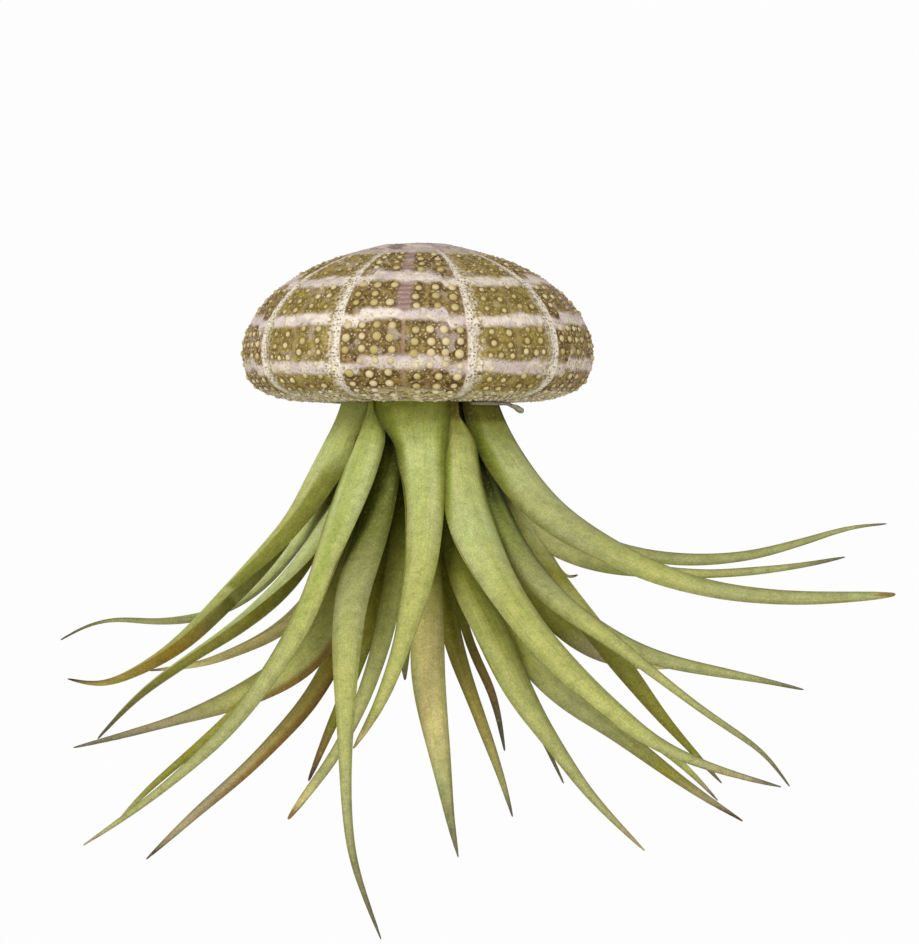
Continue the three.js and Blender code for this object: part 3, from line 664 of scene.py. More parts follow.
def dome_finish():
    """Olive and purplish plates, white bands, columns of pores and fine granules."""
    finish = Finish("urchin_test")
    phase = phase_in(finish)
    side = finish.math("ABSOLUTE", phase)
    row = finish.attribute("row")
    narrow = finish.math("GREATER_THAN", side, WIDE_EDGE)
    end = finish.rise(side, END_DROP_FROM - 0.008, END_DROP_FROM + 0.008)
    drop = finish.mix(narrow, finish.times(end, END_DROP), NARROW_DROP)
    level = finish.minus(row, finish.axes(drop)[0])
    pale = band_paleness(finish, level)
    granules = finish.rise(finish.cells(1300), 0.5, 0.2)
    purple = finish.times(finish.rise(side, 0.055, 0.02), finish.rise(row, 11.6, 10.6))

    dark = dark_plates(finish, row, narrow, purple, granules)
    white = finish.mix(finish.patches(0.42, 0.58, 260, 3), BAND_LILAC, BAND_BEIGE)
    white = finish.mix(finish.patches(0.5, 0.68, 700, 2), white, BAND_STAIN, 0.7)
    white = finish.mix(finish.rise(finish.cells(900), 0.24, 0.1), white, SPECK_GREY, 0.6)
    colour = finish.mix(pale, dark, white)
    worn = finish.times(finish.patches(0.56, 0.7, 260, 3), finish.rise(row, 17.0, 15.0))
    colour = finish.mix(worn, colour, BAND_LILAC, 0.4)
    khaki = finish.times(finish.rise(level, 17.6, 19.2), finish.patches(0.4, 0.58, 600, 3))
    colour = finish.mix(khaki, colour, RIM_KHAKI)

    wiggle = finish.scaled(finish.noise(420, 2), 0.012, -0.006)
    middle = finish.rise(finish.plus(side, wiggle), 0.012, 0.004)
    line = finish.times(middle, finish.minus(1.0, purple))
    edge = finish.rise(side, 0.488, 0.496)
    lines = finish.plus(finish.times(line, 0.5), finish.times(edge, 0.3))
    lines = finish.times(lines, finish.minus(1.0, pale))
    colour = finish.mix(lines, colour, LINE_PINK)
    colour, pores = pore_columns(finish, side, row, pale, dark, colour)
    colour, joints = apical_disc(finish, row, colour)

    inner = finish.mix(finish.noise(120, 3), BAND_LILAC, BAND_BEIGE)
    colour = finish.mix(finish.attribute("outside"), inner, colour)
    finish.set(base_color=colour, roughness=0.6, specular_ior_level=0.25)
    dents = finish.times(finish.plus(pores, joints), -1.0)
    height = finish.scaled(granules, 0.8, dents)
    finish.bump(finish.plus(height, finish.noise(2500, 2)), 0.16 * MM, 0.8)
    return finish.material


def dark_plates(finish, row, narrow, purple, granules):
    """Olive-brown ground, greener in the narrow columns, purple along the top plates' middle, and a ring of
    painted shade round each knob.
    """
    base = finish.mix(narrow, PLATE_OLIVE, PLATE_GREEN)
    base = finish.mix(finish.patches(0.42, 0.6, 190, 2), base, PLATE_GREEN, 0.5)
    depth = finish.scaled(narrow, -0.28, 1.0)
    brown = finish.patches(0.36, 0.62, 560, 4, 0.65)
    dark = finish.mix(brown, base, PLATE_DARK, depth)
    stripes = finish.rise(finish.math("FRACT", finish.times(row, 2.0)), 0.2, 0.7)
    violet = finish.mix(stripes, PLATE_PURPLE, BAND_LILAC)
    dark = finish.mix(purple, dark, finish.mix(0.7, violet, PLATE_PURPLE), 0.85)
    dark = finish.mix(granules, dark, GRANULE, 0.75)
    # painted shade: a dark ring round the foot of each knob
    return finish.mix(finish.attribute("halo"), dark, PLATE_DARK, 0.6)


def pore_columns(finish, side, row, pale, dark, colour):
    """The stripes of paired pores between the columns of plates, palest beside the wide column."""
    inside = finish.times(finish.rise(side, WIDE_EDGE - 0.006, WIDE_EDGE + 0.006),
                          finish.rise(side, PORES_EDGE + 0.014, PORES_EDGE - 0.014))
    bright = finish.rise(side, PORES_EDGE - 0.012, WIDE_EDGE + 0.02)
    mottle = finish.patches(0.38, 0.62, 1300, 2)
    share = finish.scaled(pale, 0.45, finish.times(mottle, 0.5))
    ground = finish.mix(share, dark, finish.mix(mottle, PORE_GROUND, PORE_WHITE))
    ground = finish.mix(bright, ground, PORE_WHITE, finish.scaled(mottle, 0.35, 0.55))
    grid = finish.point(finish.times(side, 66.0), finish.times(row, 3.8))
    pores = finish.rise(finish.cells(1.0, 0.55, grid), 0.38, 0.18)
    ground = finish.mix(pores, ground, PORE_DARK, 0.85)
    return finish.mix(inside, colour, ground), finish.times(pores, inside)


def apical_disc(finish, row, colour):
    """Pale plates with dark joints round the hole in the top, and the hole's worn grey rim."""
    inside = finish.times(finish.rise(row, 2.9, 1.9), finish.patches(0.25, 0.5, 420, 2))
    gap = finish.cells(240, feature="DISTANCE_TO_EDGE")
    joints = finish.times(finish.rise(gap, 0.1, 0.02), finish.patches(0.35, 0.55, 150, 1))
    plates = finish.mix(finish.patches(0.46, 0.7, 240, 3), DISC_PALE, PLATE_PURPLE)
    plates = finish.mix(finish.patches(0.5, 0.64, 300, 4, 0.7), plates, DISC_STAIN, 0.75)
    plates = finish.mix(joints, plates, DISC_GREY, 0.65)
    plates = finish.mix(finish.rise(row, 1.3, 0.2), plates, DISC_GREY, 0.75)
    return finish.mix(inside, colour, plates), finish.times(joints, inside)


def knob_finish():
    """Khaki knobs, cream where the shell is pale, duller granules between them, and painted shade from each
    knob's top down to its foot.
    """
    finish = Finish("urchin_tubercles")
    pale = finish.rise(finish.attribute("pale"), 0.1, 0.9)
    olive = finish.mix(finish.patches(0.35, 0.65, 170, 2), KNOB_OLIVE, KNOB_CREAM)
    colour = finish.mix(pale, olive, KNOB_PALE)
    colour = finish.mix(finish.patches(0.5, 0.72, 1700, 2), colour, GRANULE, 0.35)
    dull = finish.mix(finish.patches(0.4, 0.6, 520, 2), PLATE_OLIVE, GRANULE)
    dull = finish.mix(pale, dull, BAND_LILAC)
    colour = finish.mix(finish.attribute("grain"), colour, dull, 0.45)
    # painted shade: each knob darkens from its top down to its foot
    foot = finish.rise(finish.attribute("top"), 0.7, 0.2)
    colour = finish.mix(foot, colour, PLATE_DARK, 0.6)
    finish.set(base_color=colour, roughness=0.5, specular_ior_level=0.3)
    finish.bump(finish.noise(3000, 2), 0.05 * MM, 0.4)
    return finish.material


# ---------------------------------------------------------------- leaf colours
# The pale khaki in this table is painted light, for parts of leaves that the light reaches though others
# stand over them.
PALETTE = {name: srgb(*colour) for name, colour in {
    "FROST": (184, 190, 126), "GREY": (160, 159, 104), "GREEN": (150, 164, 68), "LIME": (174, 173, 100),
    # On the next line, the darkest olive is an olive in painted shade, for channels and feet deep among the
    # leaves.
    "OLIVE": (130, 126, 44), "DEEP": (106, 102, 14), "MOSS": (146, 140, 56), "YELLOW": (180, 162, 86),
    "AMBER": (172, 140, 44), "BROWN": (130, 104, 58), "DARK_BROWN": (76, 58, 38), "RUST": (140, 98, 38),
    # On the next line, the shadow green and the near black are painted shade, for feet deep among the other
    # leaves.
    "CHANNEL": (114, 114, 16), "PALE": (216, 214, 142), "SHADOW": (112, 116, 54), "GLOOM": (48, 50, 14),
    "PURPLE": (160, 146, 110), "ROSE": (200, 186, 122), "TIP": (100, 94, 74),
}.items()}
# Leaves darkened to a dull brown just under the shell's rim, as painted shade.
RIM_SHADED_LEAVES = ("leaf_right_1", "leaf_right_2", "leaf_right_5")
RIM_SHADE = (0.5, 0.42, 0.28, 1)
RIM_SHADE_FADE = (-39.4, -38.2)  # millimetres of z between which it begins
SHADED = (0.42, 0.43, 0.12, 1)  # what is left of each colour deep among the leaves, as painted shade
SHADE_RANGE = (0.12, 0.6)  # how buried a point is where the painted shade begins and where it is whole
# Leaves that the light reaches all the same, and the share of that painted shade which they keep.
SHADE_SHARES = {"leaf_right_4": 0.25, "leaf_right_6": 0.5, "leaf_left_2": 0.35}
STREAK = (0.82, 0.94, 0.55, 1)  # what greener streaks leave of a colour
VEIN = (0.7, 0.74, 0.5, 1)  # and the veins near a leaf's foot
CONTACT_SHADE = (0.34, 0.33, 0.2, 1)  # what is left at the margins near the foot, where leaves touch, as painted shade

# Each leaf's colours from foot to tip on its outer face, and on the inner face of its channel: places
# along it, each with the colour there, or one colour.
LEAF_COLOURS = {
    "leaf_front_1": ("0.35 FROST 0.6 LIME 0.92 LIME 0.97 ROSE 1 BROWN", "OLIVE"),
    "leaf_front_2": ("0.34 SHADOW 0.5 GREY 0.62 LIME 0.8 GREY 1 TIP", "OLIVE"),
    "leaf_front_3": ("0 OLIVE 0.5 LIME 0.9 GREY 0.96 ROSE 1 BROWN", "OLIVE"),
    "leaf_front_4": ("0.86 OLIVE 0.94 BROWN 1 DARK_BROWN", "DEEP"),
    "leaf_front_5": ("0 GREEN 0.4 LIME 0.58 ROSE 0.76 ROSE 0.86 GREY 1 TIP", "OLIVE"),
    "leaf_front_6": ("0.5 MOSS 0.8 YELLOW 0.95 GREY 1 TIP", "MOSS"),
    "leaf_front_7": ("0.6 OLIVE 0.85 BROWN 0.95 TIP 1 TIP", "DEEP"),
    "leaf_left_1": ("0.35 FROST 0.5 LIME 0.7 GREY 0.95 GREY 1 PURPLE", "OLIVE"),
    "leaf_left_2": ("0.3 FROST 0.45 LIME 0.75 LIME 0.9 YELLOW 0.96 ROSE 1 DARK_BROWN",
                    "0 OLIVE 0.4 MOSS 0.65 LIME 0.78 AMBER 0.92 YELLOW 1 DARK_BROWN"),
    "leaf_left_3": ("0.8 FROST 0.92 LIME 1 TIP", "0 OLIVE 0.5 MOSS 0.8 MOSS 1 TIP"),
    "leaf_left_4": ("0 MOSS 0.5 FROST 0.85 GREY 0.95 TIP 1 TIP", "0 MOSS 0.4 FROST 0.9 GREY 1 TIP"),
    "leaf_left_5": ("0.6 MOSS 0.9 OLIVE 1 GREY", "OLIVE"),
    "leaf_left_6": ("0 OLIVE 0.5 LIME 0.7 LIME 0.86 PURPLE 1 TIP",
                    "0 MOSS 0.5 LIME 0.7 LIME 0.86 PURPLE 1 TIP"),
    "leaf_left_7": ("0 GREY 0.55 ROSE 0.95 ROSE 1 TIP", "0 GREY 0.45 ROSE 0.95 ROSE 1 TIP"),
    "leaf_left_8": ("0 MOSS 0.4 YELLOW 0.66 YELLOW 0.84 PURPLE 0.94 PURPLE 1 DARK_BROWN",
                    "0 MOSS 0.5 YELLOW 0.9 BROWN 1 DARK_BROWN"),
    "leaf_right_1": ("0 GREY 0.16 LIME 0.36 FROST 0.5 LIME 0.75 LIME 0.88 GREY 0.95 PURPLE 1 TIP",
                     "OLIVE"),
    "leaf_right_2": ("0.25 FROST 0.45 GREY 0.6 LIME 0.72 GREY 0.985 GREY 1 BROWN", "MOSS"),
    "leaf_right_3": ("0 OLIVE 0.4 LIME 0.6 GREY 0.95 GREY 1 TIP", "OLIVE"),
    "leaf_right_4": ("0.18 OLIVE 0.26 PALE 0.45 PALE 0.6 LIME 0.9 GREY 1 TIP", "OLIVE"),
    "leaf_right_5": ("0.29 GLOOM 0.35 SHADOW 0.5 GREY 0.6 LIME 0.85 GREY 1 TIP", "MOSS"),
    "leaf_right_6": ("0 GLOOM 0.3 SHADOW 0.36 PALE 0.42 PALE 0.5 MOSS 0.56 LIME 0.68 MOSS 0.92 OLIVE "
                     "1 TIP", "OLIVE"),
    "leaf_right_7": ("0 OLIVE 0.5 GREY 0.9 GREY 1 TIP", "OLIVE"),
    "leaf_right_8": ("0.2 GREEN 0.35 LIME 0.62 LIME 0.9 GREY 1 PURPLE", "OLIVE"),
    "leaf_right_9": ("0 OLIVE 0.5 LIME 0.72 GREY 0.88 MOSS 0.95 PURPLE 1 DARK_BROWN", "OLIVE"),
    "leaf_right_11": ("0 OLIVE 0.3 MOSS 0.55 MOSS 0.72 OLIVE 0.82 PURPLE 1 ROSE", "DEEP"),
    "leaf_right_12": ("0 DEEP 0.7 OLIVE 1 TIP", "DEEP"),
}
# Leaves with another colour at one margin: the side it lies on, as an axis and a way along it, the
# colour, where across the blade it begins and is whole, and where along it starts, is whole, fades and
# ends.
MARGINS = {
    # leaf_left_2's band stands for its dark inner channel with painted shade beside it, laid on the outer
    # face
    "leaf_left_2": ("way_x", 1, "CHANNEL", 0.42, 0.54, 0.28, 0.36, 0.6, 0.74),
    "leaf_left_6": ("way_z", -1, "RUST", 0.45, 0.78, 0.3, 0.42, 0.62, 0.8),
    "leaf_left_8": ("way_z", -1, "RUST", 0.1, 0.64, 0.36, 0.5, 0.75, 0.95),
}
MARGIN_STRENGTH = 0.8
# Leaves with a bright green streak along the middle, and where it starts, is whole, fades and ends.
STREAKED = {"leaf_left_1": (0.16, 0.26, 0.46, 0.62)}
STREAK_STRENGTH = 0.55
STREAK_REACH = (0.45, 0.1)  # how far from the middle it ends and is whole, in half widths
PLAIN_OUTER = "0 FROST 0.35 GREEN 0.6 LIME 0.92 LIME 0.97 PURPLE 1 TIP"
PLAIN_INNER = "OLIVE"
INNER_END = 0.9  # to where along the blade one colour of the inner face goes


# ---------------------------------------------------------------- leaves
def sections_of(mesh):
    """The corners of a blade's sections from foot to tip: each the outer face, then the inner."""
    near = [set() for _ in mesh.vertices]
    for edge in mesh.edges:
        first, second = edge.vertices
        near[first].add(second)
        near[second].add(first)
    ends = [i for i, others in enumerate(near) if len(others) == SECTION_POINTS]
    foot, tip = sorted(ends, key=lambda i: -mesh.vertices[i].co.z)
    rings, seen = [[foot]], {foot}
    while tip not in seen:
        ring = sorted({other for i in rings[-1] for other in near[i]} - seen)
        rings.append(ring)
        seen.update(ring)
    points = [vertex.co for vertex in mesh.vertices]
    outward = Vector((points[foot].x, points[foot].y, 0)).normalized()
    sections = []
    for ring, following in zip(rings[1:-1], rings[2:]):
        section, outward = ordered_section(ring, following, near, points, outward)
        sections.append(section)
    return foot, sections, tip


def ordered_section(ring, following, near, points, outward):
    """Walks round one section from margin to margin on the outer face, and back on the inner."""
    pairs = [(a, b) for a in ring for b in ring if a < b]
    start, end = max(pairs, key=lambda pair: (points[pair[0]] - points[pair[1]]).length)
    walk = [start]
    while len(walk) < len(ring):
        walk.append(next(i for i in sorted(near[walk[-1]]) if i in ring and i not in walk))
    centre = sum((points[i] for i in ring), Vector()) / len(ring)
    ahead = sum((points[i] for i in following), Vector()) / len(following) - centre
    half = SECTION_POINTS // 2
    face = points[walk[2]] - points[walk[half + 2]]
    if face.dot(outward) < 0:
        walk = [start] + walk[:0:-1]
        face = -face
    across = ahead.cross(face)
    if across.dot(points[walk[half]] - points[start]) < 0:
        walk = walk[half::-1] + walk[:half:-1]
    return walk, face.normalized()


def note_margins(mesh, sections):
    """Keeps each section's direction from margin to margin, and its half width."""
    ways, halves = np.zeros((len(mesh.vertices), 3)), np.zeros(len(mesh.vertices))
    for section in sections:
        span = mesh.vertices[section[SECTION_POINTS // 2]].co - mesh.vertices[section[0]].co
        ways[section] = span.normalized()
        halves[section] = span.length / 2
    store(mesh, way_x=ways[:, 0], way_y=ways[:, 1], way_z=ways[:, 2], half=halves)


def spread_sheath(mesh, node):
    """Makes a blade broader towards the mouth, where its foot clasps the others."""
    points = places(mesh)
    along, across, half = kept(mesh, "along", "across", "half")
    way = np.stack(kept(mesh, "way_x", "way_y", "way_z"), axis=1)
    height = points[:, 2] / MM
    left = across * way[:, 0] < 0
    spread = np.zeros(len(points))
    for to_left, to_right, top, end in FLARES.get(node, []):
        spread += np.where(left, to_left, to_right) * MM * smooth(end, top, height)
    spread *= smooth(*FLARE_ALONG, along)
    if node not in FLARES:
        spread += np.maximum(SHEATH_HALF - half, 0) * smooth(SHEATH_END, SHEATH_TOP, height)
    points = points + way * (across * spread)[:, None]
    points[:, 1] -= FORWARD.get(node, 0) * np.maximum(spread, 0) * across ** 2
    if node in DRAWN:
        reach, edge, *stretch = DRAWN[node]
        drawn = smooth(edge, edge + DRAWN_BLEND, across * np.sign(way[:, 0]))
        points[:, 0] += reach * MM * drawn * window(height, *stretch)
    move_to(mesh, points)


def plant_surface():
    """All the solids as one surface that rays can be cast at."""
    points, faces = [], []
    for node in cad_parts.values():
        start = len(points)
        points += [vertex.co.copy() for vertex in node.data.vertices]
        faces += [[start + i for i in face.vertices] for face in node.data.polygons]
    return BVHTree.FromPolygons(points, faces)


def buried(mesh, surface):
    """How deep among the other leaves each corner lies: 0 in the open, 1 with leaves all round it."""
    rays = []
    for i in range(SHADE_RAYS):
        height = math.sqrt(1 - (i + 0.5) / SHADE_RAYS)
        turn = i * math.pi * (3 - math.sqrt(5))
        flat = math.sqrt(1 - height * height)
        rays.append(Vector((flat * math.cos(turn), flat * math.sin(turn), height)))
    shares = []
    for vertex in mesh.vertices:
        turned = vertex.normal.to_track_quat("Z", "Y")
        start = vertex.co + vertex.normal * SHADE_START * MM
        hit = 0.0
        for ray in rays:
            distance = surface.ray_cast(start, turned @ ray, SHADE_REACH)[3]
            if distance is not None:
                hit += 1 - distance / SHADE_REACH
        shares.append(hit / SHADE_RAYS)
    return shares


def leaf_blade(node, seed, surface):
    """A leaf as a smooth, thin-edged blade with fine ribs, painted from foot to tip."""
    piece = merged_copy(node, node + "_blade")
    mesh = piece.data
    foot, sections, tip = sections_of(mesh)
    store(mesh, buried=buried(mesh, surface))
    note_margins(mesh, sections)
    last = len(sections) - 1
    along, across, side = (np.zeros(len(mesh.vertices)) for _ in range(3))
    column = {foot: -1, tip: -1}
    for i, section in enumerate(sections):
        for j, corner in enumerate(section):
            column[corner] = j
            along[corner] = i / last
            across[corner], side[corner] = SECTION[j]
    along[tip] = TIP_ALONG
    store(mesh, along=along, across=across, side=side)
    straighten(mesh, column, along)
    apply_modifier(piece, "SUBSURF", levels=LEAF_LEVELS, render_levels=LEAF_LEVELS)
    spread_sheath(mesh, node)
    sculpt_leaf(mesh, seed)
    paint_leaf(mesh, node, seed)
    only(piece)
    bpy.ops.object.shade_smooth_by_angle(angle=SMOOTH_ANGLE)
    return piece


def straighten(mesh, column, along):
    """Takes out the slanting edges of a blade, and creases its two margins."""
    with editing("DESELECT"):
        bpy.ops.mesh.select_mode(type="EDGE")
    for edge in mesh.edges:
        first, second = edge.vertices
        slanting = column[first] != column[second] and along[first] != along[second]
        edge.select = bool(slanting) and min(column[first], column[second]) >= 0
    bpy.ops.object.mode_set(mode="EDIT")
    bpy.ops.mesh.dissolve_edges(use_verts=False)
    bpy.ops.object.mode_set(mode="OBJECT")
    creases = []
    for edge in mesh.edges:
        first, second = edge.vertices
        margin = column[first] == column[second] and column[first] in (0, SECTION_POINTS // 2)
        creases.append(MARGIN_CREASE if margin else 0.0)
    layer = mesh.attributes.new("crease_edge", "FLOAT", "EDGE")
    layer.data.foreach_set("value", creases)


def sculpt_leaf(mesh, seed):
    """Ribs along the blade, slow waves of its margins and wrinkles near its dry tip."""
    points, outward = places(mesh), directions(mesh)
    along, across, side = kept(mesh, "along", "across", "side")
    flat = np.stack([across * 5 + side * 9, along * 3, np.full(len(along), seed)], axis=1)
    ribs = rough(flat, 1.0, seed) + 0.5 * rough(flat, 2.1, seed + 4)
    flat = np.stack([along * 9, np.sign(across), np.full(len(along), seed)], axis=1)
    waves = rough(flat, 1.0, seed + 8)
    margin = smooth(0.6, 1, np.abs(across))
    dry = smooth(DRY_FROM, 1, along)
    wrinkles = dry * rough(points, 900, seed)
    lift = RIB_HEIGHT * ribs + WAVE_HEIGHT * waves * margin + WRINKLE_HEIGHT * wrinkles
    move_to(mesh, points + outward * (lift * MM * (1 - 0.6 * dry))[:, None])


def colour_stops(text):
    """The places and the colours that a run such as "0.4 LIME 1 TIP" names."""
    words = text.split()
    return [float(word) for word in words[::2]], [PALETTE[word] for word in words[1::2]]


def gradient(at, colours, position):
    """The colour at each position between the stops."""
    return np.stack([np.interp(position, at, channel) for channel in zip(*colours)], axis=1)


def blended(first, second, share):
    return first * (1 - share) + np.array(second) * share


def paint_leaf(mesh, node, seed):
    """Keeps each point's main colour: the outer face's run of colours, a darker channel inside, and painted
    shade where the blade is buried among the others or lies under the shell's rim.
    """
    outer_text, inner_text = LEAF_COLOURS.get(node, (PLAIN_OUTER, PLAIN_INNER))
    if inner_text in PALETTE:
        inner_text = f"{INNER_END} {inner_text} {' '.join(outer_text.split()[-2:])}"
    along, across, side = kept(mesh, "along", "across", "side")
    flat = np.stack([across * 1.4, along * 5, side * 0.3 + seed], axis=1)
    patches = rough(flat, 1.0, seed + 2)
    position = np.clip(along + 0.03 * patches, 0, 1)
    outer = gradient(*colour_stops(outer_text), position)
    inside = gradient(*colour_stops(inner_text), position)
    green = (smooth(0.1, 0.6, patches) * smooth(0.9, 0.6, along) * 0.3)[:, None]
    outer = blended(outer, PALETTE["GREEN"], green)
    share = smooth(-0.35, 0.25, side)[:, None]
    tint = blended(inside, outer, share)
    if node in MARGINS:
        axis, sense, colour, begins, whole, *stretch = MARGINS[node]
        beside = sense * across * np.sign(kept(mesh, axis)[0]) + 0.15 * patches
        edge = smooth(begins, whole, beside) * window(along, *stretch) * MARGIN_STRENGTH
        tint = blended(tint, PALETTE[colour], edge[:, None])
    # painted shade, deepest where the blade is buried among the other leaves
    shade = smooth(*SHADE_RANGE, kept(mesh, "buried")[0]) * SHADE_SHARES.get(node, 1.0)
    tint = tint * np.array(SHADED) ** shade[:, None]
    if node in STREAKED:
        streak = smooth(*STREAK_REACH, np.abs(across - 0.1 + 0.3 * patches))
        streak = streak * window(along, *STREAKED[node]) * STREAK_STRENGTH
        tint = blended(tint, PALETTE["GREEN"], streak[:, None])
    # painted shade: a dull brown darkening just under the shell's rim
    if node in RIM_SHADED_LEAVES:
        height = places(mesh)[:, 2] / MM + 0.8 * patches
        tint = tint * np.array(RIM_SHADE) ** smooth(*RIM_SHADE_FADE, height)[:, None]
    store(mesh, tint=tint)


def leaf_finish():
    """Frosted skin: a bloom of fine pale scales over the leaf's colours, faint ribs, and painted shade
    towards the margins and where leaves touch near the foot.
    """
    finish = Finish("frosted_leaf")
    tint = finish.attribute("tint", "Color")
    along, across = finish.attribute("along"), finish.attribute("across")
    ribs, veins = (
        finish.noise(1.0, detail, roughness, finish.point(finish.times(across, lines),
                                                          finish.times(along, breaks)))
        for detail, roughness, lines, breaks in ((3, 0.6, 13.0, 6.0), (2, 0.5, 46.0, 9.0)))
    colour = finish.dim(finish.rise(ribs, 0.48, 0.7), tint, STREAK)
    young = finish.times(finish.rise(along, 0.5, 0.2), finish.rise(veins, 0.55, 0.7))
    colour = finish.dim(young, colour, VEIN, 0.7)
    mottle = finish.ramp(finish.noise(420, 4, 0.65), [(0.3, 0.8), (0.5, 1.0), (0.72, 1.16)])
    colour = finish.dim(1.0, colour, mottle)
    colour = finish.mix(finish.patches(0.52, 0.74, 1500, 3, 0.7), colour, PALETTE["FROST"], 0.3)
    scales = finish.noise(2600, 2, 0.7)
    colour = finish.dim(1.0, colour, finish.ramp(scales, [(0.32, 0.8), (0.68, 1.2)]))
    reach = finish.math("ABSOLUTE", across)
    # painted shade: darker towards both margins, as on a rounded blade
    shade = finish.ramp(finish.rise(reach, 0.4, 1.0), [(0, 1.0), (1, 0.7)])
    colour = finish.dim(1.0, colour, shade)
    # painted shade where the margins near the foot touch the other leaves
    contact_shade = finish.times(finish.rise(reach, 0.72, 1.0), finish.rise(along, 0.4, 0.16))
    colour = finish.dim(contact_shade, colour, CONTACT_SHADE, 0.75)
    finish.set(base_color=colour, roughness=0.6, specular_ior_level=0.14)
    finish.bump(finish.plus(scales, finish.times(ribs, 0.8)), 0.12 * MM, 0.6)
    return finish.material


# ---------------------------------------------------------------- crown and glue
CROWN_LEVELS = 3
SCAR_HEIGHT = 0.35 * MM
CROWN_SINK = 0.2 * MM  # so that hardly any of the scars reach out of the solid
WOOD_DARK, WOOD_BROWN, WOOD_PALE = srgb(52, 38, 22), srgb(104, 80, 48), srgb(140, 118, 78)
GLUE_CLEAR, GLUE_MILKY = srgb(226, 224, 206), srgb(190, 188, 164)
GLUE_RISE = 0.35 * MM  # brings the film against the shell's rim
GLUE_TAB = (20.2, 21.4)  # millimetres of x between which the film becomes the tab


def crown_stem():
    """The knobbly woody base that the leaves grow from."""
    piece = merged_copy("plant_crown", "crown_stem")
    with editing():
        bpy.ops.mesh.tris_convert_to_quads()
    apply_modifier(piece, "SUBSURF", levels=CROWN_LEVELS, render_levels=CROWN_LEVELS)
    mesh = piece.data
    points, outward = places(mesh), directions(mesh)
    scars = rough(points * (1, 1, 3), 260, 1.0)
    move_to(mesh, points + outward * (SCAR_HEIGHT * scars - CROWN_SINK)[:, None])
    return smoothed(piece)


def crown_finish():
    finish = Finish("woody_crown")
    rings = finish.noise(1, 4, 0.6, finish.stretched(finish.place, 200, 200, 1400))
    colour = finish.ramp(rings, [(0.3, WOOD_DARK), (0.55, WOOD_BROWN), (0.8, WOOD_PALE)])
    finish.set(base_color=colour, roughness=0.85)
    finish.bump(rings, 0.3 * MM)
    return finish.material


def glue_film():
    """A thin, uneven film of hot glue with its drawn-out tab."""
    piece = merged_copy("glue_film", "glue_drip")
    apply_modifier(piece, "REMESH", mode="VOXEL", voxel_size=0.2 * MM)
    apply_modifier(piece, "SMOOTH", factor=0.5, iterations=8)
    mesh = piece.data
    points, outward = places(mesh), directions(mesh)
    tab = smooth(*GLUE_TAB, points[:, 0] / MM)
    lift = -0.14 + 0.24 * tab + 0.2 * rough(points, 330, 2.0) + 0.1 * rough(points, 1100, 6.0)
    move_to(mesh, points + outward * (lift * MM)[:, None] + (0, 0, GLUE_RISE))
    return smoothed(piece)


def glue_finish():
    """Milky, half clear hot glue."""
    finish = Finish("hot_glue")
    colour = finish.mix(finish.noise(500, 2), GLUE_CLEAR, GLUE_MILKY)
    finish.set(base_color=colour, roughness=0.3, transmission_weight=0.75, ior=1.45)
    finish.bump(finish.noise(700, 2), 0.15 * MM, 0.6)
    return finish.material


# ---------------------------------------------------------------- stage
EYE = Vector((9 * MM, -0.8, -49.5 * MM))
LENS = 141.25  # millimetres, on a sensor 36 mm along the picture's long side
FLOOR_Z = -0.24
FLOOR_SIZE = 1.5
FLOOR_FADE = (0.3, 0.66)  # distances from the middle between which the floor fades out
ROOM_LIGHT = 0.46
ROOM_WHITE = 0.985  # what shows behind the plant
LIGHTS = {  # as [place, size, watts]
    "key": ((-0.55, -0.9, 0.58), 0.5, 8.2),
    "fill": ((0.85, -0.8, -0.1), 0.9, 5.6),
    "low": ((-0.9, -0.6, -0.2), 0.9, 3.0),
}
LIGHT_AIM = Vector((0, 0, -0.05))


def stage():
    """A pale floor well below the plant, which fades into the white of the room round it."""
    bpy.ops.object.select_all(action="DESELECT")
    bpy.ops.mesh.primitive_plane_add(size=FLOOR_SIZE, location=(0, 0, FLOOR_Z))
    floor = bpy.context.active_object
    floor.name = "floor"
    finish = Finish("pale_floor")
    paint = finish.mix(finish.noise(2, 2), (0.93, 0.93, 0.93, 1), (0.9, 0.9, 0.9, 1))
    x, y, _ = finish.axes(finish.place)
    reach = finish.math("SQRT", finish.plus(finish.times(x, x), finish.times(y, y)))
    finish.set(base_color=paint, roughness=0.9, alpha=finish.rise(reach, FLOOR_FADE[1], FLOOR_FADE[0]))
    floor.data.materials.append(finish.material)


def light(name, place, size, power):
    lamp = bpy.data.lights.new(name, "AREA")
    lamp.size = size
    lamp.energy = power
    holder = placed(name, lamp)
    holder.location = place
    aim = LIGHT_AIM - holder.location
    holder.rotation_euler = aim.to_track_quat("-Z", "Y").to_euler()


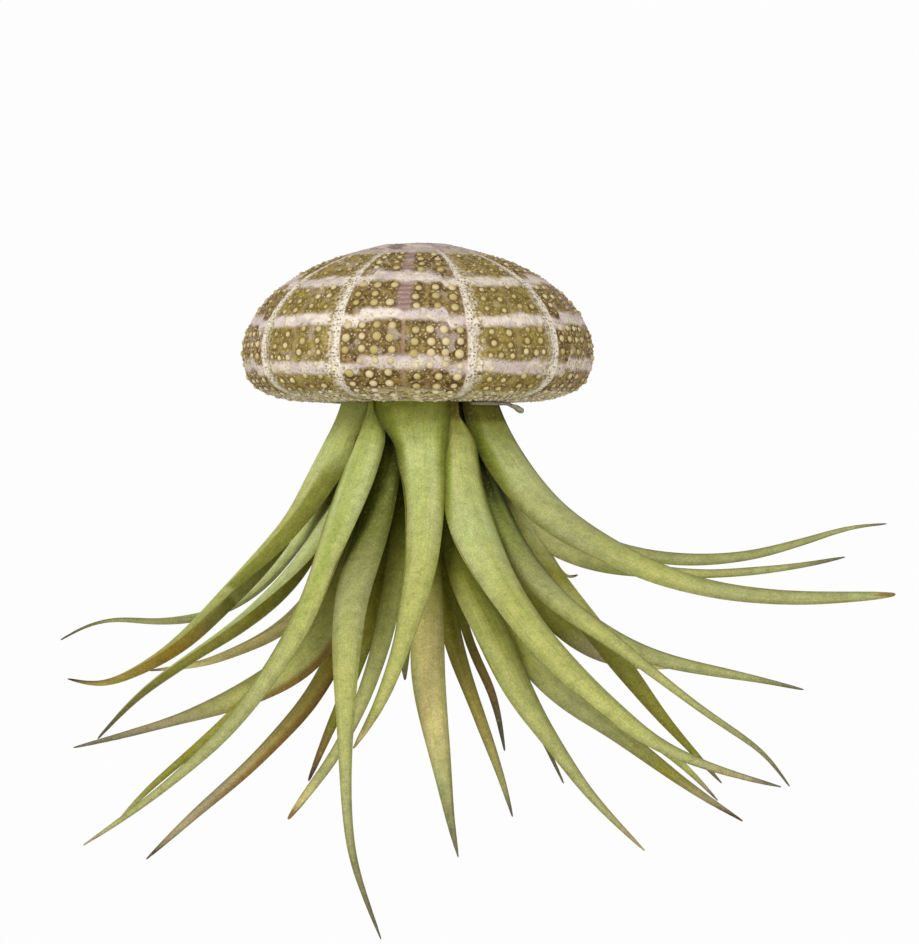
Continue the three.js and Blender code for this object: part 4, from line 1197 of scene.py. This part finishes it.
def lights():
    world = bpy.data.worlds.new("studio")
    world.use_nodes = True
    tree = world.node_tree
    room = tree.nodes["Background"]
    room.inputs["Color"].default_value = (1, 1, 1, 1)
    shown = tree.nodes.new("ShaderNodeLightPath").outputs["Is Camera Ray"]
    strength = tree.nodes.new("ShaderNodeMapRange")
    strength.inputs["To Min"].default_value = ROOM_LIGHT
    strength.inputs["To Max"].default_value = ROOM_WHITE
    tree.links.new(shown, strength.inputs["Value"])
    tree.links.new(strength.outputs["Result"], room.inputs["Strength"])
    bpy.context.scene.world = world
    for name, (place, size, power) in LIGHTS.items():
        light(name, place, size, power)


def camera():
    lens = bpy.data.cameras.new("camera")
    lens.lens = LENS
    holder = placed("camera", lens)
    holder.location = EYE
    holder.rotation_euler = (math.radians(90), 0, 0)
    lens.clip_start = 0.05
    bpy.context.scene.camera = holder


# ---------------------------------------------------------------- the whole plant
def build():
    tubercles = tubercle_places()
    dome = shell_dome()
    bosses = [(on_dome(azimuth, row)[0], radius) for azimuth, row, radius, _ in tubercles
              if radius > SMALL_TUBERCLE]
    relief(dome, bosses)
    finished(smoothed(dome), "shell_dome", dome_finish(), "sea_urchin_shell", slot="shell")
    knob_skin = knob_finish()
    large = [tubercle for tubercle in tubercles if tubercle[2] > SMALL_TUBERCLE]
    small = [tubercle for tubercle in tubercles if tubercle[2] <= SMALL_TUBERCLE]
    for name, group, lift, shape in zip(("shell_tubercles", "shell_granules"), (large, small),
                                        (LARGE_LIFT, SMALL_LIFT), boss_shapes()):
        knobs = knob_piece(name, group, *shape, lift)
        store(knobs.data, grain=np.full(len(knobs.data.vertices), float(group is small)))
        finished(knobs, name, knob_skin, "sea_urchin_shell", slot="shell")
    skin = leaf_finish()
    surface = plant_surface()
    leaf_nodes = sorted(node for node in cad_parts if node.startswith("leaf_"))
    for seed, node in enumerate(leaf_nodes):
        finished(leaf_blade(node, float(seed), surface), node + "_blade", skin, node, slot="leaf")
    finished(crown_stem(), "crown_stem", crown_finish(), "plant_crown", slot="crown")
    finished(glue_film(), "glue_drip", glue_finish(), "glue_film", slot="glue")


build()
stage()
lights()
camera()
bpy.context.scene.view_settings.view_transform = "Standard"
